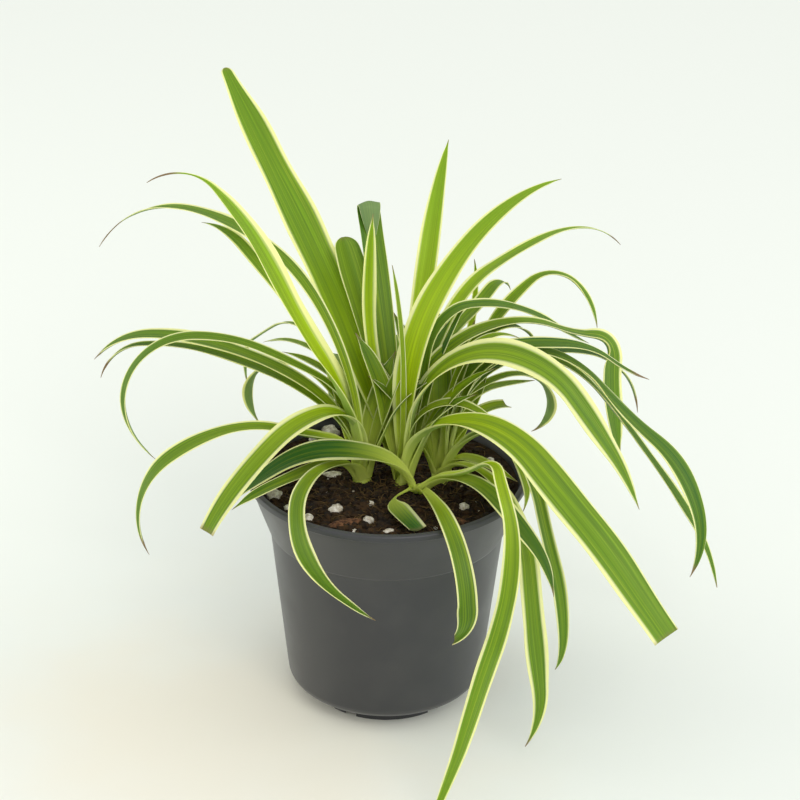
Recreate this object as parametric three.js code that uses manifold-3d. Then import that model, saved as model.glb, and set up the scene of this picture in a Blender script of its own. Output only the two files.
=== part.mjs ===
// A spider plant (Chlorophytum) in a round plastic nursery pot, 13 cm across.
// Units are millimetres. +Z is up, +X is to the right and +Y is away from the viewer.
// The origin is on the pot's axis, at the level that the pot stands on.
import * as THREE from 'three';
import { mergeVertices } from 'three/addons/utils/BufferGeometryUtils.js';
import Module from 'manifold-3d';

const wasm = await Module();
wasm.setup();

// The pot: a flared band under the rim, a tapered wall, a raised ledge and a sunk middle that it stands on.
const RIM_RADIUS = 65;
const POT_HEIGHT = 115;
const LIP_HEIGHT = 3;
const LIP_OVERHANG = 1.2;
const LIP_EDGE = 0.6;
const BAND_BOTTOM = 87;
const BAND_BOTTOM_RADIUS = 55.2;
const BAND_STEP = 0.8;
const WALL = 1.4;
const CORNER_RADIUS = 7;
const CORNER_OUTER_RADIUS = 46.3;
const CORNER_ANGLES = [-90, -60, -30, 0];
const LEDGE_HEIGHT = 7;
const FOOT_RADIUS = 34;
const NOTCH_COUNT = 4;
const NOTCH_ANGLE = 30;
const NOTCH_INNER_RADIUS = 24;
const NOTCH_TURN = -38;
const DRAIN_RADIUS = 3.5;
const DRAIN_SIDES = 12;
const POT_SIDES = 48;
// How far a cutter runs past the surface that it cuts, and how close two corners are to be one.
const CUT_MARGIN = 1;
const WELD_DISTANCE = 1e-4;

// The soil: a plug that fills the pot, uneven on top.
const SOIL_LEVEL = 108;
const SOIL_CLEARANCE = 0.3;
const SOIL_RINGS = 7;
const SOIL_FLAT_SHARE = 0.75;
// Two sets of waves make the lumps: how far apart, in which turn, and how high.
const SOIL_LUMPS = [
  { length: 32, turn: 12, height: 0.7 },
  { length: 30, turn: 98, height: 0.7 },
  { length: 16, turn: 51, height: 0.4 },
];

// The leaves: a channelled blade, folded most at its root. Each step has this many corners round the blade.
const BLADE_THICKNESS = 0.8;
const BLADE_STEP = 11;
const BLADE_CORNERS = 6;
const ROOT_FOLD = 38;
const BLADE_FOLD = 13;
const UNFOLDED_SHARE = 0.45;
const LEAST_WIDTH = 1.2;
const ROOT_OFFSET = 2.5;
const ROOT_RISE = 2.5;
const SHEATH_STEP = 15;
const BLADE_GAP = 0.3;

// A folded leaf turns over within this length, in so many steps, and its other steps keep clear of it.
const FOLD_SPAN = 9;
const FOLD_STEPS = 4;
const FOLD_MARGIN = 4;

// The crowns: where each shoot's leaves join, sunk into a plain hole in the soil.
const CROWN_DEPTH = 12;
const CROWN_RISE = 7;
const CROWN_NECK = 2;
const CROWN_SHOULDER = 3;
const CROWN_TAPER = 0.7;
const CROWN_SIDES = 12;
const CROWN_HOLE_CLEARANCE = 0.4;
const CROWNS = {
  left: { x: -12, y: 2, radius: 5 },
  middle: { x: 7, y: -1, radius: 4 },
  right: { x: 25, y: 6, radius: 6 },
  front: { x: 15, y: -9, radius: 3.5 },
};

// Every leaf: its shoot, its length, its widths at equal steps from root to tip, and the length of
// its sheath, which is one body with its crown. Its headings and pitches are in degrees, also at
// equal steps (heading 0 is right, 90 away, 180 left, 270 to the viewer; pitch 90 is straight up).
// Some leaves twist by their tip, and some are folded: where, by how much, and with what twist.
const LEAVES = [
  { name: 'tall_left', crown: 'middle', length: 220, sheath: 57,
    width: [7.5, 14, 19.5, 19.5, 20, 20, 17, 15, 6],
    heading: [124], pitch: [61, 46, 38, 39] },
  { name: 'light_left', crown: 'left', length: 195, twist: 30, sheath: 46,
    width: [8.5, 13, 18, 20, 20, 17.5, 10, 1.5, 1],
    heading: [191], pitch: [100, 72, 59, 66, 62, 48, -35] },
  { name: 'upper_left_arc', crown: 'left', length: 252, sheath: 29,
    width: [5, 5.5, 6, 7, 8.5, 9.5, 7, 1.5, 1],
    heading: [139], pitch: [99, 72, 48, 14, -3, -28, -56] },
  { name: 'upper_left_short', crown: 'left', length: 156, sheath: 45,
    width: [4.5, 5, 5.5, 6.5, 7, 7.5, 7, 1],
    heading: [138], pitch: [99, 70, 38, 35, 32, -14] },
  { name: 'left_arc_upper', crown: 'left', length: 165, sheath: 53,
    width: [5.5, 7, 9, 9.5, 11, 12, 11.5, 1.5],
    heading: [165], pitch: [99, 47, 21, 9, -8, -56] },
  { name: 'left_arc_lower', crown: 'left', length: 164, sheath: 38,
    width: [5, 6, 7.5, 8.5, 7, 6.5, 4.5, 1.5],
    heading: [163], pitch: [98, 39, 18, 7, -11, -77] },
  { name: 'left_loop', crown: 'left', length: 203, sheath: 48,
    width: [4.5, 5.5, 6, 6.5, 6.5, 5.5, 5.5, 6, 1.5],
    heading: [182], pitch: [98, 75, 31, 24, 0, -49, -99, -141] },
  { name: 'left_low_arc', crown: 'left', length: 163, sheath: 18,
    width: [5.5, 8, 10, 9.5, 11, 10.5, 5.5, 1.5],
    heading: [203], pitch: [100, 20, 21, -6, -31, -80, -119] },
  { name: 'back_left_short', crown: 'left', length: 108, sheath: 45,
    width: [3.5, 4, 4, 4.5, 4.5, 4, 3.5, 1],
    heading: [132], pitch: [99, 61, -1, -32] },
  { name: 'back_left_small', crown: 'left', length: 86, sheath: 46, width: [3.5, 4, 4.5, 4.5, 4.5, 1],
    heading: [135], pitch: [100, 70, 8, -13] },
  { name: 'back_left_thin', crown: 'left', length: 180, sheath: 44, width: [3.5, 3, 3, 3.5, 3, 2.5, 3, 1.5],
    heading: [120], pitch: [98, 61, 20, -7, -34, -37, -119] },
  { name: 'back_left_curl', crown: 'left', length: 124, sheath: 54, width: [4, 4.5, 4.5, 5, 5, 5, 7.5, 1.5],
    heading: [143], pitch: [97, 64, 26, -15, -62, -149] },
  { name: 'left_cut', crown: 'left', length: 130, twist: 15, sheath: 38,
    width: [6.5, 9.5, 11.5, 12.5, 12.5, 12, 10.5, 8.5],
    heading: [218], pitch: [112, 66, 0, -31, -41, -56] },
  { name: 'front_left_dark', crown: 'front', length: 97, twist: 15, sheath: 12,
    width: [6.5, 14, 16.5, 15, 10.5, 1.5],
    heading: [191], pitch: [71, 22, 1, -30, -47] },
  { name: 'front_left_low', crown: 'left', length: 82, sheath: 29, width: [5, 6.5, 8.5, 8.5, 6.5, 1],
    heading: [224], pitch: [64, 0, 0, -17] },
  { name: 'front_curl', crown: 'left', length: 134, sheath: 31, width: [4, 6.5, 7, 7.5, 8, 11, 8, 1.5],
    heading: [255, 229, 240, 250, 283, 329, 361, 366], pitch: [71, 19, 8, -20, -50, -49, -40, -34] },
  { name: 'front_short', crown: 'front', length: 45, sheath: 12, width: [3.5, 5, 7.5, 9, 9.5, 10],
    heading: [265, 231, 262, 296, 308], pitch: [42, -5, 5, -12, -5] },
  { name: 'front_folded', crown: 'front', length: 106, sheath: 12, width: [4, 5, 6.5, 8, 9, 9.5, 9, 10],
    heading: [273, 287, 286, 292, 290, 291, 206], pitch: [37, 10, 5, -26, -51, -83, -68] },
  { name: 'front_long', crown: 'front', length: 231, sheath: 12,
    width: [3.5, 5.5, 5.5, 7, 9, 10.5, 10, 6, 2.5],
    heading: [305, 320, 318, 275, 297, 263, 238, 231, 230, 231, 245, 265],
    pitch: [62, 21, 40, -9, -59, -75, -67, -60, -63, -63, -33, 18] },
  { name: 'front_right_arc', crown: 'front', length: 105, sheath: 12,
    width: [5, 7.5, 10, 10.5, 10.5, 9.5, 6, 1],
    heading: [313], pitch: [48, 19, -24, -34, -80] },
  { name: 'front_right_long', crown: 'right', length: 174, sheath: 18,
    width: [3.5, 4.5, 5.5, 8, 11.5, 13, 7.5, 2],
    heading: [290, 316, 295, 320, 335, 287, 190], pitch: [60, 1, -34, -79, -80, -68, -59] },
  { name: 'right_narrow', crown: 'right', length: 46, sheath: 18, width: [5.5, 7.5, 7.5, 6.5, 5, 1.5],
    heading: [327], pitch: [87, 13, -14, -17] },
  { name: 'right_small', crown: 'right', length: 87, sheath: 50, width: [4.5, 5, 6, 6.5, 7, 1.5],
    heading: [323], pitch: [81, 52, 32, -46, -72, -116] },
  { name: 'right_hanging', crown: 'right', length: 172, sheath: 51,
    width: [4.5, 5.5, 6.5, 7, 7.5, 7.5, 5.5, 1],
    heading: [321, 321, 318, 310, 301, 293, 288], pitch: [79, 44, -38, -69, -61, -80, -133] },
  { name: 'right_broad_cut', crown: 'middle', length: 193, twist: -25, sheath: 23,
    width: [6.5, 11, 12, 16, 18.5, 18.5, 18, 16, 14],
    heading: [324], pitch: [98, 42, 2, -39, -38, -45, -45] },
  { name: 'right_arch', crown: 'middle', length: 195, twist: -35, sheath: 66,
    width: [6, 9.5, 13, 16, 18, 16.5, 14.5, 8.5, 1],
    heading: [351], pitch: [97, 80, 39, -13, -53, -57, -70] },
  { name: 'right_bent', crown: 'middle', length: 226, sheath: 70, fold: { at: 160, turn: -84, twist: -62 },
    width: [5.5, 7.5, 9, 8.5, 7, 8, 13, 14, 4],
    heading: [35, 32, 30, 29, 29, 29, 29], pitch: [97, 81, 34, -2, -33, -5, 3, 7] },
  { name: 'right_upper_arch', crown: 'middle', length: 188, twist: -20, sheath: 69,
    width: [4.5, 5, 5.5, 5.5, 6, 5.5, 4, 1],
    heading: [30, 46], pitch: [88, 77, 82, -5, -24, -34, -33] },
  { name: 'right_tall', crown: 'middle', length: 181, twist: -10, sheath: 44,
    width: [7.5, 12.5, 16.5, 16, 13.5, 10, 6, 1],
    heading: [41], pitch: [98, 85, 53, 27, -4] },
  { name: 'upright', crown: 'middle', length: 171, sheath: 46, width: [4, 5.5, 7.5, 9, 10.5, 9.5, 6, 1],
    heading: [79], pitch: [93, 48, 50, 23] },
  { name: 'right_light', crown: 'middle', length: 228, sheath: 69,
    width: [4, 6, 7.5, 8, 7.5, 6.5, 4.5, 1.5, 1],
    heading: [51], pitch: [95, 66, 47, 7, 1, -18, -45] },
  { name: 'right_thin_upright', crown: 'right', length: 108, sheath: 23,
    width: [3.5, 3, 3, 3.5, 3.5, 3.5, 2.5, 1],
    heading: [73], pitch: [92, 34, 50, 121] },
  { name: 'back_right_bent', crown: 'middle', length: 128, sheath: 25,
    width: [4, 4.5, 5, 5.5, 6, 7.5, 7, 1],
    heading: [55], pitch: [82, 71, 62, 32, 14, 25, -70] },
  { name: 'back_right_arch', crown: 'right', length: 155, sheath: 47,
    width: [4, 4.5, 5, 5.5, 7.5, 5.5, 7, 1.5],
    heading: [53, 53, 53, 52, 37, 2, -38], pitch: [95, 63, 53, 30, 27, -45, -82] },
  { name: 'back_right_droop', crown: 'right', length: 109, sheath: 51,
    width: [4.5, 5.5, 6, 7, 8, 8.5, 6.5, 1.5],
    heading: [36], pitch: [97, 79, 66, -5, -70] },
  { name: 'back_right_slim', crown: 'right', length: 90, sheath: 32, width: [4, 5, 5.5, 6, 6, 1.5],
    heading: [18], pitch: [98, 85, 59, -38] },
  { name: 'right_dark_upper', crown: 'right', length: 153, sheath: 51,
    width: [4.5, 5.5, 6.5, 8, 7.5, 4.5, 2, 1.5],
    heading: [18], pitch: [97, 82, 57, -1, -10, -40, -26] },
  { name: 'right_dark_lower', crown: 'right', length: 170, sheath: 56,
    width: [4.5, 6, 7, 8, 6.5, 3.5, 2, 1.5],
    heading: [34], pitch: [95, 68, 19, -10, -21, -48, -86] },
  { name: 'far_right_inner', crown: 'right', length: 244, sheath: 56,
    width: [5, 5.5, 7, 8, 8.5, 8.5, 8, 6, 1.5],
    heading: [22, 24, 22, 14, 2, -13, -28], pitch: [91, 62, -20, -52, -55, -56, -78] },
  { name: 'far_right_outer', crown: 'right', length: 239, sheath: 57,
    width: [5, 5.5, 7, 8, 9.5, 11, 12, 7.5, 1],
    heading: [18, 21, 18, 8, -12, -37, -57], pitch: [86, 69, -11, -53, -39, -69, -119] },
  { name: 'right_curl', crown: 'right', length: 120, sheath: 51, width: [4, 4.5, 5, 5.5, 5.5, 6.5, 8, 1.5],
    heading: [32], pitch: [91, 96, 23, 7, -29, -79, -180] },
  { name: 'right_short_cut', crown: 'right', length: 50, sheath: 26, width: [5, 6, 7.5, 9, 9, 8.5],
    heading: [28], pitch: [99, 39, -15] },
  { name: 'right_short', crown: 'right', length: 77, sheath: 40, width: [4, 5, 5.5, 6.5, 6, 1.5],
    heading: [35], pitch: [98, 62, -4, -12] },
  { name: 'right_low_arch', crown: 'middle', length: 78, sheath: 40, width: [5, 6.5, 8, 9, 7.5, 1.5],
    heading: [357], pitch: [85, 93, 35, -23, -47] },
  { name: 'young_spear', crown: 'middle', length: 61, sheath: 48, width: [4.5, 6.5, 8.5, 9.5, 7, 1],
    heading: [108], pitch: [56, 41, 33] },
  { name: 'bent_over', crown: 'middle', length: 155, sheath: 58, fold: { at: 125, turn: 190 },
    width: [4.5, 6, 7.5, 9.5, 11, 11, 10.5, 1],
    heading: [105], pitch: [71, 60, 58, 53, 54, 73] },
  { name: 'centre_spear', crown: 'middle', length: 128, sheath: 60, width: [4, 5, 5.5, 6.5, 7, 7.5, 6, 1],
    heading: [121], pitch: [66, 61, 90, 99] },
  { name: 'back_left_broad', crown: 'middle', length: 117, sheath: 58,
    width: [4.5, 5.5, 7, 9, 11, 13.5, 14.5, 12],
    heading: [115], pitch: [78, 52, 50, 46] },
  { name: 'centre_thin', crown: 'middle', length: 104, sheath: 30, width: [3.5, 3, 3, 3, 2.5, 2.5, 2, 1],
    heading: [106], pitch: [97, 86, 44] },
  { name: 'centre_dried', crown: 'middle', length: 96, sheath: 59, width: [3.5, 3.5, 3.5, 3.5, 3.5, 1],
    heading: [115], pitch: [54, 43, 42, 73] },
  { name: 'rear_right', crown: 'right', length: 150, sheath: 18, width: [6, 9, 13.5, 13.5, 10.5, 6, 1],
    heading: [80], pitch: [75, 32, -12, -55, -78] },
  { name: 'rear_middle', crown: 'middle', length: 145, sheath: 30, width: [6, 9, 13.5, 13.5, 10.5, 6, 1],
    heading: [94], pitch: [52, 30, 13, -52, -85] },
  { name: 'rear_left', crown: 'left', length: 145, sheath: 18, width: [5.5, 8.5, 12.5, 12.5, 10, 5.5, 1],
    heading: [100], pitch: [75, 33, -14, -58, -80] },
];

const PLASTIC = new THREE.MeshStandardMaterial({ color: 0x45474a, roughness: 0.45, metalness: 0 });
const SOIL = new THREE.MeshStandardMaterial({ color: 0x3b2618, roughness: 1, metalness: 0 });
const LEAF = new THREE.MeshStandardMaterial({ color: 0x6f9a2f, roughness: 0.5, metalness: 0 });
const SHEATH = new THREE.MeshStandardMaterial({ color: 0xa9be5a, roughness: 0.6, metalness: 0 });

const radians = THREE.MathUtils.degToRad;
const smoothstep = THREE.MathUtils.smoothstep;
const lerp = THREE.MathUtils.lerp;

// Reads a list of values, given at equal steps, at a share of the way along.
function along(values, share) {
  const place = share * (values.length - 1);
  const index = Math.min(Math.floor(place), values.length - 2);
  return values.length === 1 ? values[0] : lerp(values[index], values[index + 1], place - index);
}

// Turns a closed geometry into a solid for joining and cutting.
function solidOf(geometry) {
  const bare = geometry.clone();
  bare.deleteAttribute('normal');
  bare.deleteAttribute('uv');
  const merged = mergeVertices(bare, WELD_DISTANCE);
  const corners = merged.index.array;
  const kept = [];
  for (let i = 0; i < corners.length; i += 3) {
    const [a, b, c] = [corners[i], corners[i + 1], corners[i + 2]];
    if (a !== b && b !== c && c !== a) kept.push(a, b, c);
  }
  const vertProperties = new Float32Array(merged.attributes.position.array);
  return new wasm.Manifold(new wasm.Mesh({ numProp: 3, vertProperties, triVerts: new Uint32Array(kept) }));
}

// Turns a solid back into a named mesh.
function meshOf(solid, name, material) {
  const { vertProperties, triVerts } = solid.getMesh();
  const geometry = new THREE.BufferGeometry();
  geometry.setAttribute('position', new THREE.BufferAttribute(vertProperties, 3));
  geometry.setIndex(new THREE.BufferAttribute(triVerts, 1));
  return named(geometry, name, material);
}

function named(geometry, name, material) {
  const mesh = new THREE.Mesh(geometry, material);
  mesh.name = name;
  return mesh;
}

// Turns an outline of [radius, height] pairs round the upright axis.
function turned(outline, sides = POT_SIDES) {
  const points = outline.map(([radius, height]) => new THREE.Vector2(radius, height));
  return new THREE.LatheGeometry(points, sides).rotateX(Math.PI / 2);
}

// The outline of the pot's outside, or of its inside when it is set in by the wall's thickness.
function potOutline(inset, top) {
  const corner = CORNER_RADIUS - inset;
  const centreRadius = CORNER_OUTER_RADIUS - CORNER_RADIUS;
  const centreHeight = LEDGE_HEIGHT + CORNER_RADIUS;
  const outline = [[0, inset], [FOOT_RADIUS - inset, inset], [FOOT_RADIUS - inset, LEDGE_HEIGHT + inset]];
  for (const angle of CORNER_ANGLES) {
    const a = radians(angle);
    outline.push([centreRadius + corner * Math.cos(a), centreHeight + corner * Math.sin(a)]);
  }
  outline.push([BAND_BOTTOM_RADIUS - BAND_STEP - inset, BAND_BOTTOM]);
  outline.push([BAND_BOTTOM_RADIUS - inset, BAND_BOTTOM + BAND_STEP]);
  outline.push([RIM_RADIUS - LIP_OVERHANG - inset, top]);
  return outline;
}

// Four wedges that cut the notches of the foot, grown by the wall's thickness for the inside.
function notches(grow) {
  const half = radians(NOTCH_ANGLE / 2);
  const inner = NOTCH_INNER_RADIUS - grow;
  const outer = FOOT_RADIUS + CUT_MARGIN;
  const edges = [-1, 1].map((side) => [
    new THREE.Vector2(inner * Math.cos(half), side * (inner * Math.sin(half) + grow)),
    new THREE.Vector2(outer * Math.cos(half), side * (outer * Math.sin(half) + grow)),
  ]);
  const wedge = new THREE.Shape([edges[0][0], edges[0][1], edges[1][1], edges[1][0]]);
  const depth = LEDGE_HEIGHT + grow + CUT_MARGIN;
  const geometry = new THREE.ExtrudeGeometry(wedge, { depth, bevelEnabled: false });
  const solid = solidOf(geometry.translate(0, 0, -CUT_MARGIN));
  const turns = Array.from({ length: NOTCH_COUNT }, (_, i) => NOTCH_TURN + i * 360 / NOTCH_COUNT);
  return turns.map((turn) => solid.rotate([0, 0, turn]));
}

function cutNotches(solid, grow) {
  return notches(grow).reduce((body, wedge) => body.subtract(wedge), solid);
}

function makePot() {
  const outside = potOutline(0, POT_HEIGHT - LIP_HEIGHT);
  outside.push([RIM_RADIUS, POT_HEIGHT - LIP_HEIGHT], [RIM_RADIUS, POT_HEIGHT - LIP_EDGE]);
  outside.push([RIM_RADIUS - LIP_EDGE, POT_HEIGHT], [0, POT_HEIGHT]);
  const inside = potOutline(WALL, POT_HEIGHT - LIP_HEIGHT);
  inside.push([RIM_RADIUS - LIP_OVERHANG - WALL, POT_HEIGHT + CUT_MARGIN], [0, POT_HEIGHT + CUT_MARGIN]);
  let pot = cutNotches(solidOf(turned(outside)), 0).subtract(cutNotches(solidOf(turned(inside)), WALL));
  const drain = solidOf(new THREE.CylinderGeometry(DRAIN_RADIUS, DRAIN_RADIUS, 3 * WALL, DRAIN_SIDES)
    .rotateX(Math.PI / 2)
    .translate((NOTCH_INNER_RADIUS + FOOT_RADIUS) / 2, 0, LEDGE_HEIGHT + WALL / 2));
  for (let i = 0; i < NOTCH_COUNT; i += 1) {
    pot = pot.subtract(drain.rotate([0, 0, NOTCH_TURN + i * 360 / NOTCH_COUNT]));
  }
  return meshOf(pot, 'pot', PLASTIC);
}

// How far the soil's top stands above or below its level: low lumps, and flat at the wall.
function soilRelief(x, y) {
  return SOIL_LUMPS.reduce((sum, { length, turn, height }) => {
    const run = x * Math.cos(radians(turn)) + y * Math.sin(radians(turn));
    return sum + height * Math.sin(2 * Math.PI * run / length);
  }, 0);
}

function makeSoil() {
  const inset = WALL + SOIL_CLEARANCE;
  const outline = potOutline(inset, SOIL_LEVEL);
  const share = (SOIL_LEVEL - BAND_BOTTOM) / (POT_HEIGHT - LIP_HEIGHT - BAND_BOTTOM);
  const topRadius = lerp(BAND_BOTTOM_RADIUS, RIM_RADIUS - LIP_OVERHANG, share) - inset - SOIL_CLEARANCE;
  outline.pop();
  outline.push([topRadius, SOIL_LEVEL]);
  for (let ring = SOIL_RINGS - 1; ring >= 0; ring -= 1) {
    outline.push([topRadius * ring / SOIL_RINGS, SOIL_LEVEL]);
  }
  const geometry = turned(outline);
  const position = geometry.attributes.position;
  for (let i = 0; i < position.count; i += 1) {
    const [x, y, z] = [position.getX(i), position.getY(i), position.getZ(i)];
    const fade = 1 - smoothstep(Math.hypot(x, y), topRadius * SOIL_FLAT_SHARE, topRadius);
    if (z === SOIL_LEVEL) position.setZ(i, z + soilRelief(x, y) * fade);
  }
  let soil = cutNotches(solidOf(geometry), inset);
  for (const crown of Object.values(CROWNS)) soil = soil.subtract(crownStub(crown, CROWN_HOLE_CLEARANCE));
  return meshOf(soil, 'soil', SOIL);
}

// A shoot's short tapered base, from below the soil to where its leaves part.
function crownStub(crown, grow) {
  const bottom = SOIL_LEVEL - CROWN_DEPTH - grow;
  const top = SOIL_LEVEL + CROWN_RISE;
  const radius = crown.radius + grow;
  const outline = [[0, bottom], [radius * CROWN_TAPER, bottom], [radius, SOIL_LEVEL - CROWN_SHOULDER],
    [radius, SOIL_LEVEL + CROWN_NECK], [radius * CROWN_TAPER, top], [0, top]];
  return solidOf(turned(outline, CROWN_SIDES)).translate([crown.x, crown.y, 0]);
}

// How wide a leaf is at a share of its length: a smooth outline through its listed widths.
function widthAt(leaf, share) {
  const outline = new THREE.SplineCurve(leaf.width.map((width, i) => new THREE.Vector2(i, width)));
  return Math.max(LEAST_WIDTH, outline.getPoint(share).y);
}

// How far a leaf's fold is done at a share of its length.
function foldedAt(leaf, share) {
  return leaf.fold ? smoothstep(share * leaf.length, leaf.fold.at, leaf.fold.at + FOLD_SPAN) : 0;
}

// The centre line of a leaf as points, each with its sideways direction and its upper face's direction.
function spine(leaf) {
  const crown = CROWNS[leaf.crown];
  const first = radians(leaf.heading[0]);
  const point = new THREE.Vector3(crown.x + ROOT_OFFSET * Math.cos(first),
    crown.y + ROOT_OFFSET * Math.sin(first), SOIL_LEVEL + ROOT_RISE);
  const steps = Math.round(leaf.length);
  const stations = [];
  for (let i = 0; i <= steps; i += 1) {
    const share = i / steps;
    const folded = foldedAt(leaf, share);
    const heading = radians(along(leaf.heading, share));
    const pitch = radians(along(leaf.pitch, share) + (leaf.fold?.turn ?? 0) * folded);
    const forward = new THREE.Vector3(Math.cos(pitch) * Math.cos(heading),
      Math.cos(pitch) * Math.sin(heading), Math.sin(pitch));
    const side = new THREE.Vector3(Math.sin(heading), -Math.cos(heading), 0);
    const face = side.clone().cross(forward);
    const twist = radians((leaf.twist ?? 0) * share + (leaf.fold?.twist ?? 0) * folded);
    stations.push({
      share,
      point: point.clone(),
      side: side.clone().multiplyScalar(Math.cos(twist)).addScaledVector(face, Math.sin(twist)),
      face: face.clone().multiplyScalar(Math.cos(twist)).addScaledVector(side, -Math.sin(twist)),
    });
    point.addScaledVector(forward, leaf.length / steps);
  }
  return stations;
}

// The lengths between two ends at which a blade has its corners: even steps, and closer in a fold.
function stops(leaf, from, to, step) {
  const count = Math.max(2, Math.round((to - from) / step));
  const runs = Array.from({ length: count + 1 }, (_, i) => from + (to - from) * i / count);
  if (!leaf.fold || leaf.fold.at < from || leaf.fold.at > to) return runs;
  const { at } = leaf.fold;
  const clear = runs.filter((run) => run < at - FOLD_MARGIN || run > at + FOLD_SPAN + FOLD_MARGIN);
  const turns = Array.from({ length: FOLD_STEPS + 1 }, (_, i) => at + FOLD_SPAN * i / FOLD_STEPS);
  return [...clear, ...turns].sort((a, b) => a - b);
}

// A stretch of a leaf's blade between two lengths, as a closed channelled strip.
function blade(leaf, from, to, step) {
  const stations = spine(leaf);
  const runs = stops(leaf, from, to, step);
  const vertices = [];
  for (const run of runs) {
    const place = run / leaf.length * (stations.length - 1);
    const index = Math.min(Math.floor(place), stations.length - 2);
    const rest = place - index;
    const { point, side, face, share } = stations[index];
    const centre = point.clone().lerp(stations[index + 1].point, rest);
    const across = side.clone().lerp(stations[index + 1].side, rest).normalize();
    const up = face.clone().lerp(stations[index + 1].face, rest).normalize();
    const fold = radians(lerp(ROOT_FOLD, BLADE_FOLD, smoothstep(share, 0, UNFOLDED_SHARE)));
    const half = widthAt(leaf, share) / 2;
    const drop = BLADE_THICKNESS / Math.cos(fold);
    for (const lower of [0, drop]) {
      for (const hand of [-1, 0, 1]) {
        const corner = centre.clone().addScaledVector(across, hand * half * Math.cos(fold));
        corner.addScaledVector(up, (Math.abs(hand) - 0.5) * half * Math.sin(fold) - lower);
        vertices.push(...corner.toArray());
      }
    }
  }
  const triangles = [];
  const quad = (a, b, c, d) => triangles.push(a, b, c, a, c, d);
  for (let i = 0; i < runs.length - 1; i += 1) {
    const [a, b] = [i * BLADE_CORNERS, (i + 1) * BLADE_CORNERS];
    for (const k of [0, 1]) {
      triangles.push(a + k, b + k + 1, b + k, a + k, a + k + 1, b + k + 1);
      quad(a + k + 3, b + k + 3, b + k + 4, a + k + 4);
    }
    quad(a, b, b + 3, a + 3);
    quad(a + 2, a + 5, b + 5, b + 2);
  }
  const end = (runs.length - 1) * BLADE_CORNERS;
  for (const k of [0, 1]) {
    quad(k, k + 3, k + 4, k + 1);
    quad(end + k, end + k + 1, end + k + 4, end + k + 3);
  }
  const geometry = new THREE.BufferGeometry();
  geometry.setAttribute('position', new THREE.Float32BufferAttribute(vertices, 3));
  geometry.setIndex(triangles);
  return geometry;
}

// Fills the small cavities that crossing sheaths leave inside a solid.
function filled(solid) {
  const bodies = new wasm.Manifold(solid.getMesh()).decompose();
  return wasm.Manifold.union(bodies.filter((body) => body.volume() > 0));
}

function makeCrown(name) {
  let solid = crownStub(CROWNS[name], 0);
  for (const leaf of LEAVES.filter((row) => row.crown === name)) {
    solid = solid.add(solidOf(blade(leaf, 0, leaf.sheath, SHEATH_STEP)));
  }
  return meshOf(filled(filled(solid)), `crown_${name}`, SHEATH);
}

function makeLeaf(leaf) {
  return named(blade(leaf, leaf.sheath + BLADE_GAP, leaf.length, BLADE_STEP), `leaf_${leaf.name}`, LEAF);
}

const plant = new THREE.Group();
plant.add(makePot(), makeSoil());
for (const name of Object.keys(CROWNS)) plant.add(makeCrown(name));
for (const leaf of LEAVES) plant.add(makeLeaf(leaf));

export default plant;
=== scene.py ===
"""The finished visual model of a spider plant in a round plastic nursery pot.

Sizes are worked out in millimetres, in the part's own frame, and become metres when a mesh is
written. +Z is up, +X is to the right in the photograph and +Y is away from the viewer.
"""

import logging
import math
import random
from dataclasses import dataclass, replace
from enum import Enum
from typing import Iterable, Sequence

import bmesh
import bpy
from mathutils import Euler, Matrix, Vector, noise


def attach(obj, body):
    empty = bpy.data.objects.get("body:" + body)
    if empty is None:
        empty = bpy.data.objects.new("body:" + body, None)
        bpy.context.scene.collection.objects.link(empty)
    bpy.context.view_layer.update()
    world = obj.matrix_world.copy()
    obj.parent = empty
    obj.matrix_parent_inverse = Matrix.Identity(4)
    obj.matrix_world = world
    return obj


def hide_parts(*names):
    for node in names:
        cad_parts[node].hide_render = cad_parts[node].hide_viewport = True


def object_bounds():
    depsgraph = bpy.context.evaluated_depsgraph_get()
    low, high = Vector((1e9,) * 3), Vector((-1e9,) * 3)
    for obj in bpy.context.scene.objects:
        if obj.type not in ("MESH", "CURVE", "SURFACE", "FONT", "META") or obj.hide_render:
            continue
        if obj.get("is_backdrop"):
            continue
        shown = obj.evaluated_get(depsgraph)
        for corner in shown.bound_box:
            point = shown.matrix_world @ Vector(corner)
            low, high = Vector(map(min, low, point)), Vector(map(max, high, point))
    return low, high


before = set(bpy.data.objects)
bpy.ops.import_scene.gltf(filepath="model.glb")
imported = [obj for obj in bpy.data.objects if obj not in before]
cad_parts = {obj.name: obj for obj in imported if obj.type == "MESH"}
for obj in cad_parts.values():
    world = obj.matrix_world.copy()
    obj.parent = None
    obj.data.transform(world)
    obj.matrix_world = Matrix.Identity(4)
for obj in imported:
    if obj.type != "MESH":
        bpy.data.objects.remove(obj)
first_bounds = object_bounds()

log = logging.getLogger("spider_plant")

MM = 0.001
UP = Vector((0, 0, 1))
SEED = 31

# The height of the soil's top.
SOIL_LEVEL = 108.0

# Points that are closer together than this are one.
TOUCHING = 1e-4

# Edges that turn by more than so many degrees stay sharp.
LEAF_EDGE = 50
PLASTIC_EDGE = 32
PLUG_EDGE = 70
GRAIN_EDGE = 60

# From place to place a finish is up to so much smoother or rougher than its own roughness.
SMOOTHER = 0.06
ROUGHER = 0.1


def to_linear(code: str) -> tuple[float, float, float, float]:
    """Turns an sRGB hex colour into linear light.

    Args:
        code: Six hex digits, such as "6f9a2f".

    Returns:
        Red, green, blue and an alpha of one.
    """
    parts = [int(code[i:i + 2], 16) / 255 for i in (0, 2, 4)]
    linear = [c / 12.92 if c <= 0.04045 else ((c + 0.055) / 1.055) ** 2.4 for c in parts]
    return (*linear, 1.0)


def lerp(low: float, high: float, share: float) -> float:
    """Returns the value at a share of the way from low to high."""
    return low + (high - low) * share


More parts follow.
